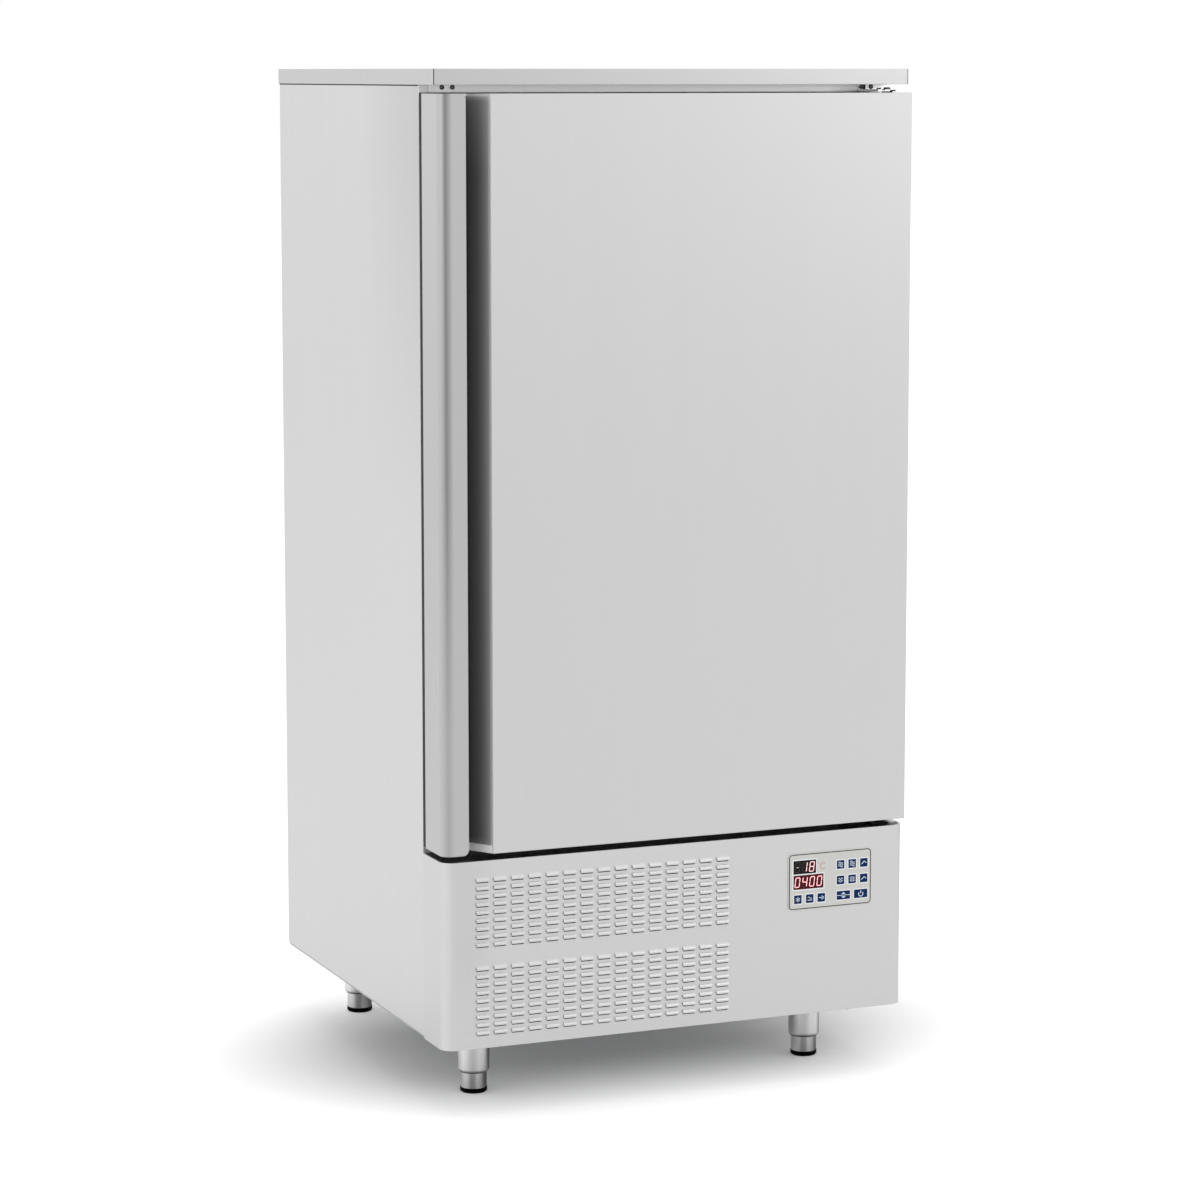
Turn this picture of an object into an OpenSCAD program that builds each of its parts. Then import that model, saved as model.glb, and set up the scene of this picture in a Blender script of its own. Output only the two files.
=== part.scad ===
/* [Cabinet] */
// Width over the two side panels
body_w = 792; // [740:4:860]
// Depth from the front of the side panels to the back
body_d = 682; // [660:2:740]
// Height of the underside above the floor
leg_h = 110; // [100:1:130]
// Height of the front of the machine compartment
base_h = 295; // [290:1:320]
// Gap between the machine compartment and the door
door_gap_low = 10; // [9:0.5:13]
// Gap between the door and the worktop
door_gap_top = 13; // [12:0.5:16]
// Thickness of the stainless sheet
sheet = 1.2; // [0.8:0.1:1.5]
// Insulation of the walls
wall_t = 60; // [50:1:65]
// Insulation under the chamber
floor_t = 60; // [50:1:70]
// Insulation over the chamber, without the worktop
roof_t = 64; // [62:1:75]
// Width of the folds along the side panels' edges
fold_w = 15; // [10:1:18]
// Height of the side panels' lower edge over the base front's
side_raise = 5; // [3:0.5:10]

/* [Worktop] */
// Thickness of the worktop's folded edge
worktop_t = 24; // [20:1:40]
// Overhang of the worktop past each side panel
worktop_side = 2; // [1:0.5:8]
// Overhang of the worktop in front of the body
worktop_front = 71; // [50:1:80]

/* [Machine compartment front] */
// Outer radius of its two upright corners
corner_r = 22; // [14:1:30]
// Louvre columns
louvre_cols = 15; // [4:1:16]
// Louvre rows in each of the two banks
louvre_rows = 9; // [3:1:10]
// Distance between louvre columns
louvre_pitch_x = 29; // [26:0.5:30]
// Distance between louvre rows
louvre_pitch_z = 12.7; // [11.5:0.1:13]
// Length of one louvre
louvre_w = 21.5; // [16:0.5:23]
// Height of one louvre
louvre_hood = 8.5; // [6:0.5:9]
// How far a louvre stands out
louvre_out = 3; // [2:0.5:4]
// Open slot under a louvre's lip
louvre_slot = 2; // [0.5:0.1:2.4]
// Left end of the louvres from the left side of the base front
louvre_inset = 53; // [40:1:70]
// Lowest louvre's lower edge above the base front's lower edge
louvre_low = 20; // [16:1:30]
// Plain band between the two banks, past the row distance
louvre_band = 24.7; // [20:0.1:30]

/* [Door] */
// Height of the door
door_h = 1160; // [1100:5:1300]
// Thickness of the door without its seal
door_t = 78; // [72:1:84]
// Space between the door and the body
seal_gap = 12; // [11:0.5:14]
// Seal's outer edge from the door's edge
seal_inset = 30; // [29:0.5:34]
// Width of the seal
seal_w = 19; // [16:1:19]
// Width of the handle's front face
handle_w = 42; // [36:1:50]
// Outer radius of the handle's upright edge
handle_r = 16; // [8:1:18]
// Thickness of the handle's lip
handle_lip = 18.5; // [18:0.5:21]
// Radius of the lip's free corners
handle_corner = 9; // [4:0.5:14]
// Width of the finger recess at the front
recess_w = 40; // [36:1:50]
// Depth of the finger recess
recess_depth = 38; // [36:0.5:42]
// How far the recess runs in behind the lip
recess_under = 20; // [16:1:24]
// Width in plan of the recess's sloping side
recess_slope = 24; // [18:1:28]
// Thickness of the dark grip liner
grip_t = 2; // [1.5:0.1:3]

/* [Hinges] */
// Pivot from the door's right edge
pivot_in = 25; // [22:0.5:27]
// Pivot behind the door's front
pivot_back = 39; // [38:0.5:42]
// Radius of the hinge pins
pin_r = 5; // [4:0.1:6]
// Length of the hinge pins in the door
pin_len = 28; // [20:1:35]
// Width of the hinge brackets
bracket_w = 42; // [34:1:60]
// Thickness of the hinge brackets
bracket_t = 3; // [2:0.5:3]

/* [Feet] */
// Outer radius of the leg tubes
leg_r = 25.5; // [24:0.5:30]
// Wall of the leg tubes
leg_wall = 4.2; // [3:0.1:4.4]
// Lower end of the leg tubes above the floor
leg_low = 33; // [30:1:45]
// Leg centres from the sides
leg_in = 105; // [95:1:120]
// Front leg centres behind the body's front
leg_front = 61; // [55:1:70]
// Rear leg centres from the back
leg_rear = 68; // [60:1:80]
// How far a foot can be screwed out
foot_travel = 40; // [10:1:40]
// Height of the rubber pad
pad_h = 8; // [5:0.5:10]

/* [Control panel] */
// Width of the control panel
panel_w = 148; // [146:1:156]
// Height of the control panel
panel_h = 92; // [90:1:100]
// Centre of the control panel from the right side
panel_in = 134; // [125:1:145]
// Centre of the control panel under the top of the base front
panel_down = 78.5; // [70:0.5:90]
// Thickness of its front plate
panel_t = 1.6; // [1.2:0.1:2]
// Side of a square key
key_s = 13; // [11:0.5:14]
// Width of a wide key
key_wide = 23.5; // [20:0.5:24.5]
// Travel of a key
key_travel = 0.5; // [0.2:0.1:0.7]

/* [Chamber] */
// Inner corner radius of the chamber
chamber_r = 20; // [10:1:30]
// Width of the trays
tray_w = 600; // [560:1:604]
// Depth of the trays
tray_d = 400; // [360:1:410]
// Tray levels
levels = 10; // [6:1:10]
// Distance between tray levels
level_pitch = 98; // [70:1:99]
// Lowest level above the chamber floor
level_low = 70; // [60:1:80]
// Free space between the shelves and the front of the chamber
tray_front = 40; // [36:1:44]
// Width of a tray runner
runner_w = 22; // [16:1:26]
// Radius of the evaporator fans' blades
evap_fan_r = 135; // [110:1:140]
// Fins of the evaporator
evap_fins = 24; // [8:1:30]

/* [Machine] */
// Radius of the condenser fan's blades
cond_fan_r = 112; // [90:1:114]
// Width of the condenser's finned block
cond_w = 380; // [360:1:400]
// Height of the condenser's finned block
cond_h = 248; // [240:1:250]
// Fins of the condenser
cond_fins = 30; // [8:1:36]
// Radius of the compressor's shell
comp_r = 88; // [75:1:95]
// Height of the compressor's shell
comp_h = 225; // [180:1:240]

/* [Hidden] */
$fn = 64;

// Clearances
gap = 0.3;        // between pieces of different bodies
run_gap = 0.05;   // radial, of a pin or shaft in its bore
seam = 0.5;       // between two panels side by side
weld = 0.05;      // between two pieces that are welded together
eps = 0.01;       // overrun of a cut past a face

// Main planes, with the origin on the floor under the middle of the footprint
half_w = body_w / 2;
total_d = louvre_out + door_t + seal_gap + body_d;
y_back = total_d / 2;
y_body = y_back - body_d;
y_door = y_body - seal_gap;
y_front = y_door - door_t;
z_base = leg_h + base_h;
z_door0 = z_base + door_gap_low;
z_door1 = z_door0 + door_h;
z_body = z_door1 + door_gap_top;
z_top = z_body + worktop_t;
z_chassis = leg_h + sheet;
chassis_t = 1.5;
top_fold = 20;
z_floor = z_chassis + chassis_t;
z_ceiling = z_base - sheet;

// Chamber, inside its liner
cham_x = half_w - wall_t;
cham_z0 = z_base + floor_t;
cham_z1 = z_body - roof_t;
cham_y1 = y_back - wall_t;

// Air baffle, fans and evaporator behind the trays
tray_y0 = y_body + tray_front;
tray_y1 = tray_y0 + tray_d;
rear_room = cham_y1 - tray_y1;
baffle_y = tray_y1 + rear_room * 0.11;
baffle_end = 25;
baffle_fold = 20;
fan_gap = 5;
evap_fan_z = [cham_z0 + 280, cham_z1 - 280];
motor_r = 38;
motor_arm_t = 3;
shaft_len = 22;
guard_hub_r = 30;
evap_motor_y = baffle_y + rear_room * 0.2;
evap_motor_len = rear_room * 0.25;
evap_y0 = evap_motor_y + evap_motor_len + rear_room * 0.033;
evap_y1 = cham_y1 - 4;
evap_half = cham_x - 96;
evap_z0 = cham_z0 + 75;
evap_z1 = cham_z1 - 75;
evap_rows = 12;

// Tray racks
rack_gap = 5;
runner_t = 1.5;
runner_lip = 14;
rack_x0 = tray_w / 2 + rack_gap;
rack_x1 = rack_x0 + runner_t;
post_x0 = rack_x1 + weld;
post_s = (cham_x - post_x0) * 0.54;
post_end_low = 12;
post_end_high = 60;
rack_top = cham_z0 + level_low + (levels - 1) * level_pitch + post_end_high;
shelf_levels = [8, 5, 2];
frame_r = 3;
wire_r = 1.5;
shelf_wires = 24;

// Food probe on the right wall
probe_up = 420;
probe_in = 12;
probe_back = 18;
needle_len = 110;

// Hinge axis
pivot_x = half_w - pivot_in;
pivot_y = y_front + pivot_back;
bush_r = pin_r + 4;
collar_r = pin_r + 4;
top_collar = 2;
bracket_in = 9;
bracket_front = 20;
bracket_screw_in = 5;
bracket_screw_pitch = 17;

// Door: the handle, the recess and the panel
handle_x0 = -half_w;
handle_x1 = handle_x0 + handle_w;
recess_x1 = handle_x1 + recess_w;
recess_x0 = handle_x1 - recess_under;
slope_x = recess_x1 - recess_slope;
recess_y = y_front + recess_depth;
lip_y = y_front + handle_lip;
skin_edge_r = 3;
grip_low = 13;
grip_top = 4;
handle_wall = 1.5;
emboss = 5;

// Control panel
pan_x = half_w - panel_in;
pan_z = z_base - panel_down;
pan_r = 7;
frame_in = 4;
frame_d = 6;
frame_wall = 2;
board_t = 1.6;
key_h = 13.6;
key_proud = 0.4;
key_flange = 1;
// Each key: centre from the panel's centre, width
KEYS = [
  [-57, -28.5, key_s], [-36, -28.5, key_s], [-15.5, -28.5, key_s],
  [18.5, 22.3, key_s], [39.2, 22.3, key_s], [60, 22.3, key_s],
  [18.5, -3, key_s], [39.2, -3, key_s], [60, -3, key_s],
  [23.8, -28, key_wide], [54.8, -28, key_wide]
];
// Each display: centre from the panel's centre, width and height
DISPLAYS = [[-45, 23.3, 40, 22], [-38.3, -1, 53, 23]];

// Legs
leg_x = half_w - leg_in;
leg_y0 = y_body + leg_front;
leg_y1 = y_back - leg_rear;
foot_r = leg_r - leg_wall - gap;
pad_more = 0.6;
stud_r = 6;
nut_t = 6;
LEGS = [[-leg_x, leg_y0], [leg_x, leg_y0], [-leg_x, leg_y1], [leg_x, leg_y1]];

// Machine compartment
cond_x0 = -half_w + 76;
cond_x1 = cond_x0 + cond_w;
cond_y0 = y_front + 54;
cond_y1 = cond_y0 + 50;
cond_z0 = z_floor + 8;
cond_z1 = cond_z0 + cond_h;
cond_rows = 6;
fan_x = (cond_x0 + cond_x1) / 2;
fan_z = (cond_z0 + cond_z1) / 2;
shroud_d = 16;
ring_y0 = cond_y1 + shroud_d;
ring_y1 = ring_y0 + 28;
arm_t = 3;
cond_motor_len = 62;
shaft_r = 4;
comp_stub = 170;
comp_x = fan_x;
comp_y = 70;
recv_x = 110;
recv_y = 230;
recv_r = 50;
recv_h = 200;
stub_len = 10;
tube_r = 4;
bend_more = 0.5;
liquid_r = 5;
suction_r = 8;
line_x = evap_half + 64;
line_y0 = coil_near(evap_y0, evap_y1);
line_y1 = coil_far(evap_y0, evap_y1);
suction_z = 320;
drier_z = z_ceiling - 29;
drier_x0 = 150;
drier_x1 = 215;
drier_r = 14;
drain_x = 205;
drain_y = -150;
drain_r = 12.5;
spigot_r = 11;
spigot_len = 25;
gland_x = -half_w + 56;
gland_y = 240;
gland_bore = 5;
gland_thread_r = 10;

// An upright box from one corner to the opposite one
module block(x0, y0, z0, x1, y1, z1) {
  translate([x0, y0, z0]) cube([x1 - x0, y1 - y0, z1 - z0]);
}

// Extrudes an outline of X and Y upwards, from z0 to z1
module along_z(z0, z1) {
  translate([0, 0, z0]) linear_extrude(z1 - z0) children();
}

// Extrudes an outline of X and Z backwards, from y0 to y1
module along_y(y0, y1) {
  translate([0, y1, 0]) rotate([90, 0, 0]) linear_extrude(y1 - y0) children();
}

// Extrudes an outline of Y and Z to the right, from x0 to x1
module along_x(x0, x1) {
  translate([x0, 0, 0]) rotate([90, 0, 90]) linear_extrude(x1 - x0) children();
}

// A flat rectangle from one corner to the opposite one
module rect(x0, y0, x1, y1) {
  translate([x0, y0]) square([x1 - x0, y1 - y0]);
}

// The same with its four corners rounded
module round_rect(x0, y0, x1, y1, r) {
  rect(x0 + r, y0, x1 - r, y1);
  rect(x0, y0 + r, x1, y1 - r);
  for (x = [x0 + r, x1 - r], y = [y0 + r, y1 - r]) translate([x, y]) circle(r);
}

// The same with only its two front corners rounded, by radii of their own
module front_round_rect(x0, y0, x1, y1, r_left, r_right) {
  rect(x0 + r_left, y0, x1 - r_right, y1);
  rect(x0, y0 + r_left, x0 + r_left, y1);
  rect(x1 - r_right, y0 + r_right, x1, y1);
  translate([x0 + r_left, y0 + r_left]) circle(r_left);
  translate([x1 - r_right, y0 + r_right]) circle(r_right);
}

// A pipe of straight runs through a list of points, with round elbows a little wider
module pipe(points, r) {
  for (i = [0 : len(points) - 2]) {
    run = points[i + 1] - points[i];
    length = norm(run);
    tilt = acos(run[2] / length);
    turn = atan2(run[1], run[0]);
    translate(points[i]) rotate([0, tilt, turn]) cylinder(h = length, r = r);
  }
  for (i = [1 : len(points) - 2]) translate(points[i]) sphere(r + bend_more);
}

// Side panels: one sheet each, folded inwards at the front and the back
module side_panel() {
  color("gainsboro") along_z(leg_h + side_raise, z_body) difference() {
    rect(half_w - fold_w, y_body, half_w, y_back);
    rect(half_w - fold_w - 1, y_body + sheet, half_w - sheet, y_back - sheet);
  }
}

module side_panel_left() { mirror([1, 0, 0]) side_panel(); }
module side_panel_right() { side_panel(); }

// Back of the insulated cabinet, between the side panels' folds
module back_panel() {
  x = half_w - fold_w - seam;
  color("gainsboro") block(-x, y_back - sheet, z_base, x, y_back, z_body);
}

// Worktop: a folded tray with a closed underside where it overhangs the door
module worktop() {
  x = half_w + worktop_side;
  y = y_body - worktop_front;
  color("gainsboro") difference() {
    block(-x, y, z_body, x, y_back, z_top);
    block(-x + sheet, y + sheet, z_body + sheet, x - sheet, y_back - sheet, z_top - sheet);
    block(-x + top_fold, y_body + sheet, z_body - 1, x - top_fold, y_back - top_fold, z_body + sheet + 1);
  }
}

// Outline of the chamber, grown by a wall
module chamber_outline(grow) {
  round_rect(-cham_x - grow, cham_z0 - grow, cham_x + grow, cham_z1 + grow, chamber_r + grow);
}

// Surround of the door opening, which the seal closes on
module front_frame() {
  x = half_w - fold_w - seam;
  color("silver") along_y(y_body, y_body + sheet) difference() {
    rect(-x, z_base, x, z_body);
    chamber_outline(sheet);
  }
}

// Holes that the drain and the two refrigerant lines need in the chamber's floor
module floor_holes(z0, z1, extra) {
  translate([drain_x, drain_y, z0]) cylinder(h = z1 - z0, r = drain_r + extra);
  translate([line_x, line_y0, z0]) cylinder(h = z1 - z0, r = liquid_r + extra);
  translate([line_x, line_y1, z0]) cylinder(h = z1 - z0, r = suction_r + extra);
}

// Five foam boards between the outer panels and the liner, the upper one also under the worktop's skin
module cabinet_insulation() {
  x = cham_x + sheet - weld;
  y0 = y_body + sheet;
  y1 = cham_y1 + sheet;
  core_x = half_w + worktop_side - top_fold - seam;
  color("khaki") difference() {
    union() {
      for (side = [0, 1]) mirror([side, 0, 0]) side_insulation(y0, y1 - weld);
      block(-x, y1, z_base, x, y_back - sheet, z_body);
      block(-x, y0, z_base, x, y1 - weld, cham_z0 - sheet - weld);
      block(-x, y0, cham_z1 + sheet + weld, x, y1 - weld, z_body + 2 * weld);
      block(-core_x, y0 + seam, z_body + weld, core_x, y_back - top_fold - seam, z_top - sheet);
    }
    floor_holes(z_base - 1, cham_z0, seam);
  }
}

// Side board with the two rounded inner corners of the chamber
module side_insulation(y0, y1) {
  x = cham_x + sheet;
  along_y(y0, y_back - sheet) rect(x, z_base, half_w - sheet, z_body);
  along_y(y0, y1) difference() {
    rect(cham_x - chamber_r, cham_z0 - sheet, x + 1, cham_z1 + sheet);
    chamber_outline(sheet);
  }
}

// Stainless inside of the chamber, open at the front
module chamber_liner() {
  color("silver") difference() {
    along_y(y_body, cham_y1 + sheet) chamber_outline(sheet);
    along_y(y_body - 1, cham_y1) chamber_outline(0);
    floor_holes(z_base, cham_z0 + 1, seam);
  }
}

// Plate under the insulation, the ceiling of the machine compartment
module deck_plate() {
  x = half_w - sheet;
  color("darkgray") difference() {
    block(-x, y_body + sheet, z_ceiling, x, y_back - sheet, z_base);
    floor_holes(z_ceiling - 1, z_base + 1, seam);
  }
}

// Floor of the machine compartment, with its edges turned up
module chassis_tray() {
  x = half_w - sheet - seam;
  y0 = y_front + corner_r + 2;
  y1 = y_back - sheet;
  rim = 22;
  notch = fold_w + seam;
  color("darkgray") difference() {
    block(-x, y0, z_chassis, x, y1, z_floor + rim);
    block(-x + chassis_t, y0 + chassis_t, z_floor, x - chassis_t, y1 - chassis_t, z_floor + rim + 1);
    for (side = [0, 1]) mirror([side, 0, 0])
      block(half_w - notch, y_body - seam, z_floor, half_w, y_body + sheet + seam, z_floor + rim + 1);
    for (p = LEGS) translate([p[0], p[1], z_chassis - 1]) cylinder(h = chassis_t + 2, r = stud_r + 1.5);
    translate([drain_x, drain_y, z_chassis - 1]) cylinder(h = chassis_t + 2, r = drain_r + seam);
    translate([gland_x, gland_y, z_chassis - 1]) cylinder(h = chassis_t + 2, r = gland_thread_r + seam);
  }
}

// Base front: one sheet wrapped round both corners, with pressed louvres
module base_outline(inset) {
  x = half_w - inset;
  front_round_rect(-x, y_front + inset, x, y_body, corner_r - inset, corner_r - inset);
}

// Side view of one louvre's hood from its upper root, as Y and Z; its lip hangs over an open slot
module hood_outline(inset) {
  depth = louvre_out - inset;
  low = inset > 0 ? 0 : louvre_slot;
  polygon([
    [eps, louvre_hood - inset], [-depth * 0.55, louvre_hood * 0.78 - inset],
    [-depth, louvre_hood * 0.5 - inset / 2], [-depth, low], [eps, low]
  ]);
}

// Where each bank of louvres starts
function bank_z(bank) = leg_h + louvre_low + bank * (louvre_rows * louvre_pitch_z + louvre_band);

module base_front_panel() {
  wall = 0.9;
  return_w = 20;
  color("gainsboro") difference() {
    union() {
      along_z(leg_h, z_base) base_outline(0);
      for (c = [0 : louvre_cols - 1], bank = [0, 1]) {
        x = -half_w + louvre_inset + c * louvre_pitch_x;
        along_x(x, x + louvre_w) for (r = [0 : louvre_rows - 1])
          translate([y_front, bank_z(bank) + r * louvre_pitch_z]) hood_outline(0);
      }
    }
    along_z(leg_h + sheet, z_base - sheet) base_outline(sheet);
    block(-half_w + sheet, y_body - 1, leg_h + sheet, half_w - sheet, y_body + 1, z_base - sheet);
    along_z(leg_h - 1, leg_h + sheet + 1) base_outline(return_w);
    block(-half_w + return_w, y_body - 1, leg_h - 1, half_w - return_w, y_body + 1, leg_h + sheet + 1);
    for (c = [0 : louvre_cols - 1], bank = [0, 1]) {
      x = -half_w + louvre_inset + c * louvre_pitch_x;
      along_x(x + wall, x + louvre_w - wall) for (r = [0 : louvre_rows - 1])
        translate([y_front, bank_z(bank) + r * louvre_pitch_z]) hood_outline(wall);
      along_x(x + wall, x + louvre_w - wall) for (r = [0 : louvre_rows - 1])
        translate([y_front, bank_z(bank) + r * louvre_pitch_z]) rect(-eps, 0, sheet + 1, louvre_hood - 2);
    }
    along_y(y_front - 1, y_front + sheet + 1) control_opening(0);
  }
}

// Opening behind the control panel
module control_opening(inset) {
  x = panel_w / 2 - frame_in + gap - inset;
  z = panel_h / 2 - frame_in + gap - inset;
  rect(pan_x - x, pan_z - z, pan_x + x, pan_z + z);
}

// Slotted cover over the rear of the machine compartment
module rear_grille() {
  x = half_w - fold_w - seam;
  slot_w = 150;
  slot_h = 5;
  color("silver") along_y(y_back - sheet, y_back) difference() {
    rect(-x, leg_h + side_raise, x, z_ceiling - seam);
    for (c = [-1.5 : 1.5], r = [0 : 13]) translate([c * 180, z_floor + 50 + r * 15])
      round_rect(-slot_w / 2, 0, slot_w / 2, slot_h, slot_h / 2 - eps);
  }
}

// Where a coil's front and rear tubes lie in its depth, and its uppermost tube
function coil_near(y0, y1) = y0 + (y1 - y0) * 0.27;
function coil_far(y0, y1) = y0 + (y1 - y0) * 0.73;
function coil_top(z0, z1, rows) = z1 - (z1 - z0) / rows / 2;

// A coil of straight tubes through plate fins, with its return bends at both ends
module finned_coil(x0, x1, y0, y1, z0, z1, fins, rows, plate_y1) {
  pitch = (z1 - z0) / rows;
  y_near = coil_near(y0, y1);
  y_far = coil_far(y0, y1);
  fin_t = 0.6;
  plate_t = 1.5;
  for (y = [y_near, y_far], r = [0 : rows - 1])
    translate([x0 - 6, y, z0 + pitch * (r + 0.5)]) rotate([0, 90, 0]) cylinder(h = x1 - x0 + 12, r = tube_r);
  for (i = [0 : fins - 1])
    translate([x0 + 8 + i * (x1 - x0 - 16 - fin_t) / (fins - 1), y0, z0]) cube([fin_t, y1 - y0, z1 - z0]);
  for (x = [x0, x1 - plate_t]) block(x, y0 - 3, z0 - 8, x + plate_t, plate_y1, z1 + 8);
  for (y = [y_near, y_far], r = [0 : 2 : rows - 2])
    translate([x0 - 6, y, z0 + pitch * (r + 1)]) rotate([90, 0, 0]) return_bend(pitch / 2, 90);
  for (y = [y_near, y_far], r = [1 : 2 : rows - 3])
    translate([x1 + 6, y, z0 + pitch * (r + 1)]) rotate([90, 0, 0]) return_bend(pitch / 2, -90);
  translate([x1 + 6, (y_near + y_far) / 2, z0 + pitch / 2]) return_bend((y_far - y_near) / 2, -90);
}

// Half a ring of slightly wider tube, bulging to -X when start is 90
module return_bend(r, start) {
  rotate([0, 0, start]) rotate_extrude(angle = 180) translate([r, 0]) circle(tube_r + bend_more);
}

// Axial fan wheel about Y, between y0 and y1, on a shaft of the given radius
module fan_wheel(x, z, y0, y1, r, bore, blades) {
  hub = 26;
  mid = (y0 + y1) / 2;
  tilt = asin((y1 - y0) * 0.6 / blade_half(r));
  translate([x, mid, z]) rotate([90, 0, 0]) difference() {
    union() {
      cylinder(h = y1 - y0, r = hub, center = true);
      for (i = [0 : blades - 1]) rotate([0, 0, i * 360 / blades]) rotate([tilt, 0, 0]) fan_blade(hub, r);
    }
    translate([0, 0, -y1 + y0]) cylinder(h = (y1 - y0) * 1.5 - 3, r = bore + run_gap);
  }
}

// Half the width of a blade
function blade_half(r) = r * 0.3;

// One flat blade with a rounded tip and a swept leading edge
module fan_blade(hub, r) {
  width = blade_half(r);
  linear_extrude(1.6, center = true) intersection() {
    circle(r);
    difference() {
      rect(hub - 4, -width, r + 1, width);
      translate([hub + (r - hub) * 0.3, width * 2.15]) circle(width * 1.4);
    }
  }
}

// Condenser, evaporator and their fans
module condenser_coil() {
  color("peru")
    finned_coil(cond_x0, cond_x1, cond_y0, cond_y1, cond_z0, cond_z1, cond_fins, cond_rows, cond_y1);
}

module evaporator_coil() {
  color("lightgray")
    finned_coil(-evap_half, evap_half, evap_y0, evap_y1, evap_z0, evap_z1, evap_fins, evap_rows, cham_y1);
}

// Sheet hood behind the condenser, its fan ring and the motor's three arms
module condenser_shroud() {
  ring_r = cond_fan_r + fan_gap;
  hood_t = 1.5;
  color("dimgray") {
    difference() {
      block(cond_x0, cond_y1, z_floor, cond_x1, ring_y0, cond_z1 + 8);
      block(cond_x0 + hood_t, cond_y1 - 1, z_floor + hood_t,
        cond_x1 - hood_t, ring_y0 - hood_t, cond_z1 + 8 - hood_t);
      translate([fan_x, ring_y0 - 5, fan_z]) rotate([-90, 0, 0]) cylinder(h = 9, r = ring_r);
    }
    translate([fan_x, ring_y1, fan_z]) rotate([90, 0, 0]) difference() {
      cylinder(h = ring_y1 - ring_y0 + 1, r = ring_r + hood_t);
      translate([0, 0, -1]) cylinder(h = ring_y1 - ring_y0 + 3, r = ring_r);
    }
    translate([fan_x, ring_y1 + arm_t, fan_z]) rotate([90, 0, 0]) linear_extrude(arm_t) difference() {
      union() {
        circle(motor_r + 4);
        for (a = [90 : 120 : 330]) rotate(a) rect(0, -9, ring_r + hood_t, 9);
      }
      circle(shaft_r + 4);
    }
  }
}

module condenser_fan_motor() {
  y = ring_y1 + arm_t;
  color("black") translate([fan_x, y, fan_z]) rotate([-90, 0, 0]) {
    cylinder(h = cond_motor_len - 8, r = motor_r);
    translate([0, 0, cond_motor_len - 8]) cylinder(h = 8, r1 = motor_r, r2 = motor_r - 10);
    translate([0, 0, -shaft_len]) cylinder(h = shaft_len, r = shaft_r);
  }
}

module condenser_fan_blade() {
  color("dimgray") fan_wheel(fan_x, fan_z, ring_y1 - 26, ring_y1 - 4, cond_fan_r, shaft_r, 5);
}

// Baffle that hides the evaporator, with a ring guard over each fan
module fan_baffle() {
  z0 = cham_z0 + baffle_end;
  z1 = cham_z1 - baffle_end;
  open_r = evap_fan_r + fan_gap;
  color("silver") {
    along_y(baffle_y, baffle_y + sheet) difference() {
      rect(-cham_x, z0, cham_x, z1);
      for (z = evap_fan_z) translate([0, z]) guard_slots(open_r);
    }
    for (side = [0, 1]) mirror([side, 0, 0])
      block(cham_x - sheet, baffle_y, z0, cham_x, baffle_y + baffle_fold, z1);
  }
}

// Ring slots between four spokes
module guard_slots(open_r) {
  ring = 4;
  pitch = (open_r - guard_hub_r) / 6;
  difference() {
    for (i = [0 : 5]) difference() {
      circle(open_r - i * pitch);
      circle(open_r - (i + 1) * pitch + ring);
    }
    for (a = [45, 135]) rotate(a) rect(-open_r - 1, -4, open_r + 1, 4);
  }
}

module evaporator_fan_motors() {
  post_r = evap_fan_r + fan_gap + 10;
  color("black") for (z = evap_fan_z) translate([0, evap_motor_y, z]) rotate([-90, 0, 0]) {
    cylinder(h = evap_motor_len, r = motor_r);
    translate([0, 0, -shaft_len]) cylinder(h = shaft_len + 1, r = shaft_r);
    for (a = [0 : 90 : 270]) rotate([0, 0, a]) {
      block(0, -5, 0, post_r + 5, 5, motor_arm_t);
      block(post_r - 5, -5, -(evap_motor_y - baffle_y - sheet), post_r + 5, 5, motor_arm_t);
    }
  }
}

module evaporator_fan(i) {
  color("dimgray") fan_wheel(0, evap_fan_z[i], baffle_y + 9, evap_motor_y - 4, evap_fan_r, shaft_r, 5);
}

module evaporator_fan_upper() { evaporator_fan(1); }
module evaporator_fan_lower() { evaporator_fan(0); }

// Hermetic compressor: a welded shell in two halves on four rubber feet
module compressor() {
  foot_h = 14;
  dome = 40;
  z0 = z_floor + foot_h;
  color("dimgray") translate([comp_x, comp_y, 0]) {
    translate([0, 0, z0]) rotate_extrude() intersection() {
      union() {
        rect(0, comp_h * 0.55, comp_r + 4, comp_h * 0.55 + 6);
        round_rect(-comp_r, 0, comp_r, comp_h, dome);
      }
      rect(0, 0, comp_r + 10, comp_h);
    }
    for (sx = [-1, 1], sy = [-1, 1]) translate([sx * comp_r * 0.85, sy * comp_r * 0.85, z_floor]) {
      cylinder(h = foot_h, r = 11);
      translate([0, 0, foot_h]) cylinder(h = 4, r = 16);
    }
    difference() {
      block(-comp_r * 0.95, -comp_r * 0.95, z0, comp_r * 0.95, comp_r * 0.95, z0 + 3);
      translate([0, 0, z0 - 1]) cylinder(h = 5, r = comp_r * 0.5);
    }
    for (p = [[-20, tube_r], [20, suction_r]]) translate([comp_r - 12, p[0], comp_stub + z_floor])
      rotate([0, 90, 0]) cylinder(h = 32, r = p[1]);
    along_y(-comp_r - 18, -comp_r + 12) round_rect(-26, z0 + 56, 26, z0 + 104, 6);
  }
}

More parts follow.
